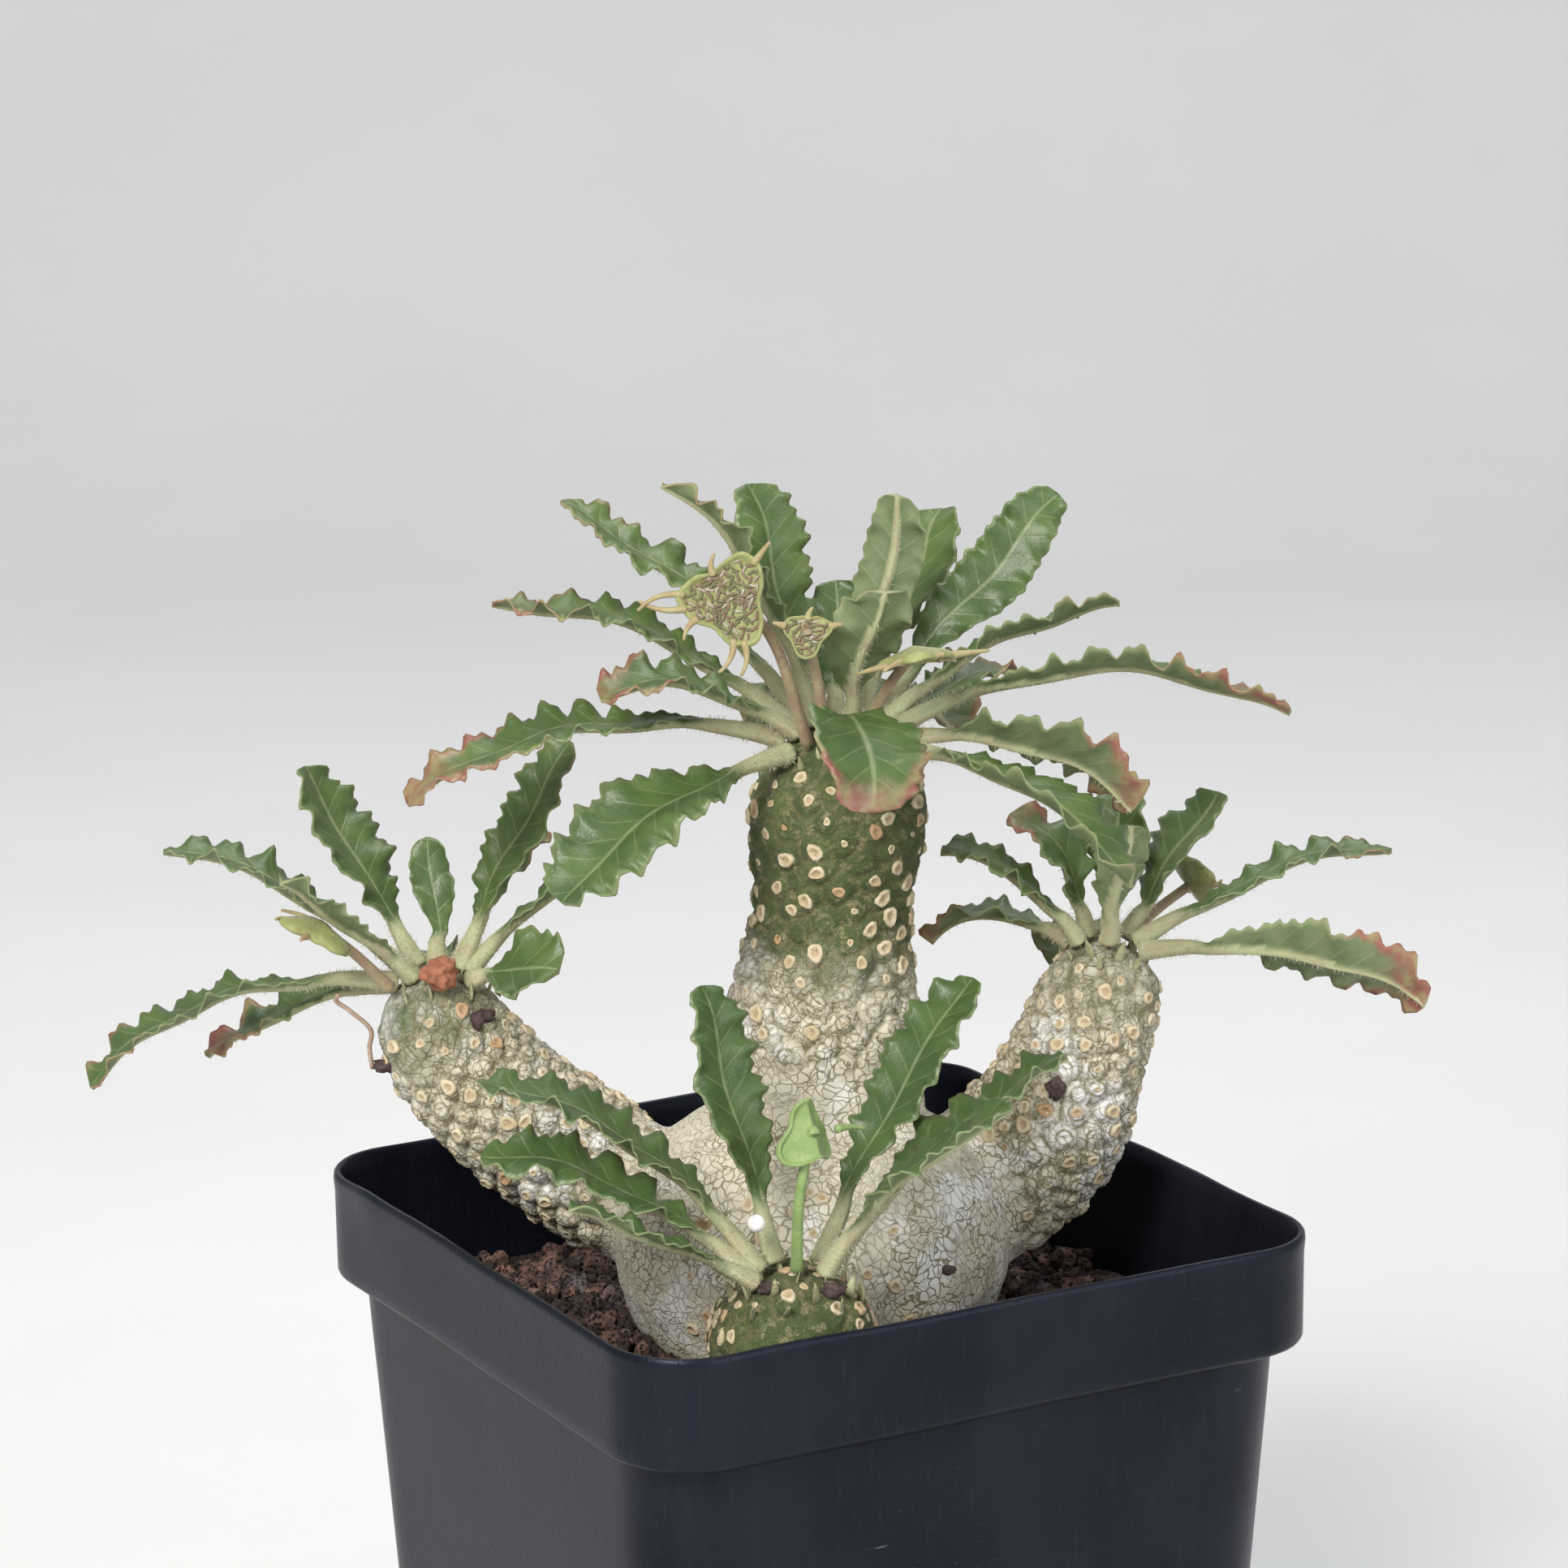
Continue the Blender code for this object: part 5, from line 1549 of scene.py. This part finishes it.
def build_small_bits():
    """White seed, dry thread, dry bloom and the dark husks stuck to the stems."""
    seed_piece = lumpy_ball("white_seed", SEED_PLACE, (1.05, 0.95, 1.0), 3, 0.06, 1.6)
    settle(dress(seed_piece, material("seed coat", seed_coat)), "seed_coat", "seed")
    beige = tissue("dry thread", dry_tissue, (0.44, 0.34, 0.27), (0.28, 0.19, 0.13))
    rust = tissue("dry flower", dry_tissue, (0.42, 0.17, 0.09), (0.16, 0.06, 0.035))
    dark = tissue("dark husk", dry_tissue, (0.1, 0.065, 0.06), (0.03, 0.02, 0.02))
    route = smooth_route([PLANT @ (Vector(p) * MM) for p in DRY_STALK], 8)
    thread = new_object("dry_thread", *tube(route, [0.28 * MM] * len(route), 10))
    settle(dress(thread, beige), "dried_bits", "dry_stalk_left")
    lump = lumpy_ball("dry_bloom", DRY_FLOWER_PLACE, (2.0, 1.7, 1.9), 11, 0.42, 2.3)
    settle(dress(lump, rust), "dried_bits", "dry_flower_left")
    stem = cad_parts["caudex"].data
    surface = BVHTree.FromPolygons([v.co for v in stem.vertices], [face.vertices for face in stem.polygons])
    husks = []
    for number, (centre, radii) in enumerate(HUSKS, 20):
        spot, aim, _, _ = surface.find_nearest(PLANT @ (Vector(centre) * MM))
        seat = PLANT.inverted() @ (spot + aim * HUSK_LIFT) / MM
        husks.append(lumpy_ball("husk", seat, radii, number, 0.5, 2.0, 3))
    settle(dress(join("dark_husks", *husks), dark), "dried_bits")


# ---------------------------------------------------------------- stage


def build_floor(settings):
    """Pale floor that sweeps up behind the plant."""
    profile = [(FLOOR_FRONT, 0.0)] + [(y / 10, 0.0) for y in range(-20, 10)]
    for step in range(1, 13):
        angle = math.pi / 2 * step / 12
        profile.append((SWEEP_START + SWEEP_RADIUS * math.sin(angle), SWEEP_RADIUS * (1 - math.cos(angle))))
    profile += [(SWEEP_START + SWEEP_RADIUS, 1.0), (SWEEP_START + SWEEP_RADIUS, FLOOR_TOP)]
    verts = [PLANT_TURN @ Vector((x, y, z)) for y, z in profile for x in (-FLOOR_HALF, FLOOR_HALF)]
    faces = [(2 * i, 2 * i + 1, 2 * i + 3, 2 * i + 2) for i in range(len(profile) - 1)]
    finish, tree, shader, place = new_material("pale floor", Roughness=0.6)
    tone = two_tones(tree, place, rgba(settings.floor), rgba(settings.floor, 0.96), 8.0, 300.0)
    wire(tree, shader, tone["Colour"])
    dress(new_object("floor", verts, faces), finish)


def build_lights(settings):
    """Soft sky and three round lamps: where each stands, its size, power and colour."""
    world = bpy.data.worlds.new("soft studio")
    world.use_nodes = True
    sky = world.node_tree.nodes["Background"].inputs
    sky[0].default_value, sky[1].default_value = SKY_COLOUR, SKY_STRENGTH
    bpy.context.scene.world = world
    lights = (
        ("key", (-0.4, -0.8, 0.72), 0.5, settings.key, (1.0, 0.98, 0.95)),
        ("fill", (0.8, -0.7, 0.4), 0.7, 0.33 * settings.key, (0.92, 0.96, 1.0)),
        ("top", (0.1, 0.45, 1.0), 0.5, 0.3 * settings.key, (1.0, 1.0, 1.0)),
    )
    for name, place, size, power, colour in lights:
        lamp = bpy.data.lights.new(name, "AREA")
        lamp.shape = "DISK"
        lamp.size = size
        lamp.energy = power
        lamp.color = colour
        obj = bpy.data.objects.new(name, lamp)
        obj.location = PLANT @ Vector(place)
        obj.rotation_euler = (LIGHT_AIM - obj.location).to_track_quat("-Z", "Y").to_euler()
        bpy.context.scene.collection.objects.link(obj)


def build_camera(settings):
    """Camera before the plant, a little above it and rolled a hair."""
    across = CAMERA_RIGHT * math.cos(CAMERA_ROLL) + CAMERA_UP * math.sin(CAMERA_ROLL)
    upward = CAMERA_UP * math.cos(CAMERA_ROLL) - CAMERA_RIGHT * math.sin(CAMERA_ROLL)
    data = bpy.data.cameras.new("view")
    data.lens = settings.lens
    data.sensor_width = 36
    camera = bpy.data.objects.new("view", data)
    turn = Matrix((across, upward, CAMERA_BACK)).transposed().to_4x4()
    aim = Vector((0, 0, CAMERA_AIM[2])) + across * CAMERA_AIM[0] + upward * CAMERA_AIM[1]
    camera.matrix_world = Matrix.Translation(aim + CAMERA_BACK * CAMERA_DISTANCE) @ turn
    bpy.context.scene.collection.objects.link(camera)
    bpy.context.scene.camera = camera
    bpy.context.scene.view_settings.view_transform = "Standard"


def build_stage(settings):
    """Floor, lights and camera."""
    build_floor(settings)
    build_lights(settings)
    build_camera(settings)


# ---------------------------------------------------------------- operators and panel


class DORSTENIA_OT_stage(bpy.types.Operator):
    """Make the floor, the lights and the camera"""

    bl_idname = "dorstenia.stage"
    bl_label = "Stage"

    def execute(self, context):
        build_stage(context.scene.dorstenia_stage)
        return {"FINISHED"}


class DORSTENIA_OT_pot(bpy.types.Operator):
    """Make the square nursery pot"""

    bl_idname = "dorstenia.pot"
    bl_label = "Pot"

    def execute(self, context):
        build_pot(context.scene.dorstenia_pot)
        return {"FINISHED"}


class DORSTENIA_OT_soil(bpy.types.Operator):
    """Make the gritty soil"""

    bl_idname = "dorstenia.soil"
    bl_label = "Soil"

    def execute(self, context):
        build_soil(context.scene.dorstenia_soil)
        return {"FINISHED"}


class DORSTENIA_OT_caudex(bpy.types.Operator):
    """Make the swollen stem, its scars and its bud scales"""

    bl_idname = "dorstenia.caudex"
    bl_label = "Caudex"

    def execute(self, context):
        skin, lattice = build_caudex(context.scene.dorstenia_bark)
        build_scars(skin, lattice)
        build_crowns()
        return {"FINISHED"}


class DORSTENIA_OT_leaves(bpy.types.Operator):
    """Make every leaf of the four heads"""

    bl_idname = "dorstenia.leaves"
    bl_label = "Leaves"

    def execute(self, context):
        seed = 100
        for head, rows in LEAVES.items():
            centre, radius = stem_points(head)[-1]
            for number, row in enumerate(rows, 1):
                seed += 1
                label = f"{head}_{number:02d}"
                build_leaf("foliage_" + label, "leaf_" + label, row, centre, radius, seed,
                           context.scene.dorstenia_leaf)
        return {"FINISHED"}


class DORSTENIA_OT_flowers(bpy.types.Operator):
    """Make the flowers with their stalks, arms and florets"""

    bl_idname = "dorstenia.flowers"
    bl_label = "Flowers"

    def execute(self, context):
        for seed, (label, flower) in enumerate(FLOWERS.items(), 40):
            build_flower("bloom_" + label, "flower_" + label, flower, seed)
        return {"FINISHED"}


class DORSTENIA_OT_bits(bpy.types.Operator):
    """Make the seed and the dried bits"""

    bl_idname = "dorstenia.bits"
    bl_label = "Seed and dry bits"

    def execute(self, context):
        build_small_bits()
        return {"FINISHED"}


OPERATORS = (
    DORSTENIA_OT_stage, DORSTENIA_OT_pot, DORSTENIA_OT_soil, DORSTENIA_OT_caudex, DORSTENIA_OT_leaves,
    DORSTENIA_OT_flowers, DORSTENIA_OT_bits,
)
SETTINGS = {
    "dorstenia_pot": PotSettings, "dorstenia_soil": SoilSettings, "dorstenia_bark": BarkSettings,
    "dorstenia_leaf": LeafSettings, "dorstenia_stage": StageSettings,
}


class DORSTENIA_PT_panel(bpy.types.Panel):
    """Sizes, colours and build steps of the potted dorstenia"""

    bl_label = "Potted dorstenia"
    bl_idname = "DORSTENIA_PT_panel"
    bl_space_type = "VIEW_3D"
    bl_region_type = "UI"
    bl_category = "Dorstenia"

    def draw(self, context):
        """List the build steps, then each group of settings."""
        for operator in OPERATORS:
            self.layout.operator(operator.bl_idname)
        for key, group in SETTINGS.items():
            box = self.layout.box()
            for field in group.__annotations__:
                box.prop(getattr(context.scene, key), field)


CLASSES = (*SETTINGS.values(), *OPERATORS, DORSTENIA_PT_panel)


def register():
    """Add the settings, the operators and the panel."""
    for kind in CLASSES:
        bpy.utils.register_class(kind)
    for key, group in SETTINGS.items():
        setattr(bpy.types.Scene, key, bpy.props.PointerProperty(type=group))


def unregister():
    """Take the settings, the operators and the panel out again."""
    for key in SETTINGS:
        delattr(bpy.types.Scene, key)
    for kind in reversed(CLASSES):
        bpy.utils.unregister_class(kind)


def main():
    """Build every piece in order."""
    register()
    for operator in OPERATORS:
        family, step = operator.bl_idname.split(".")
        getattr(getattr(bpy.ops, family), step)()


if __name__ == "__main__":
    main()
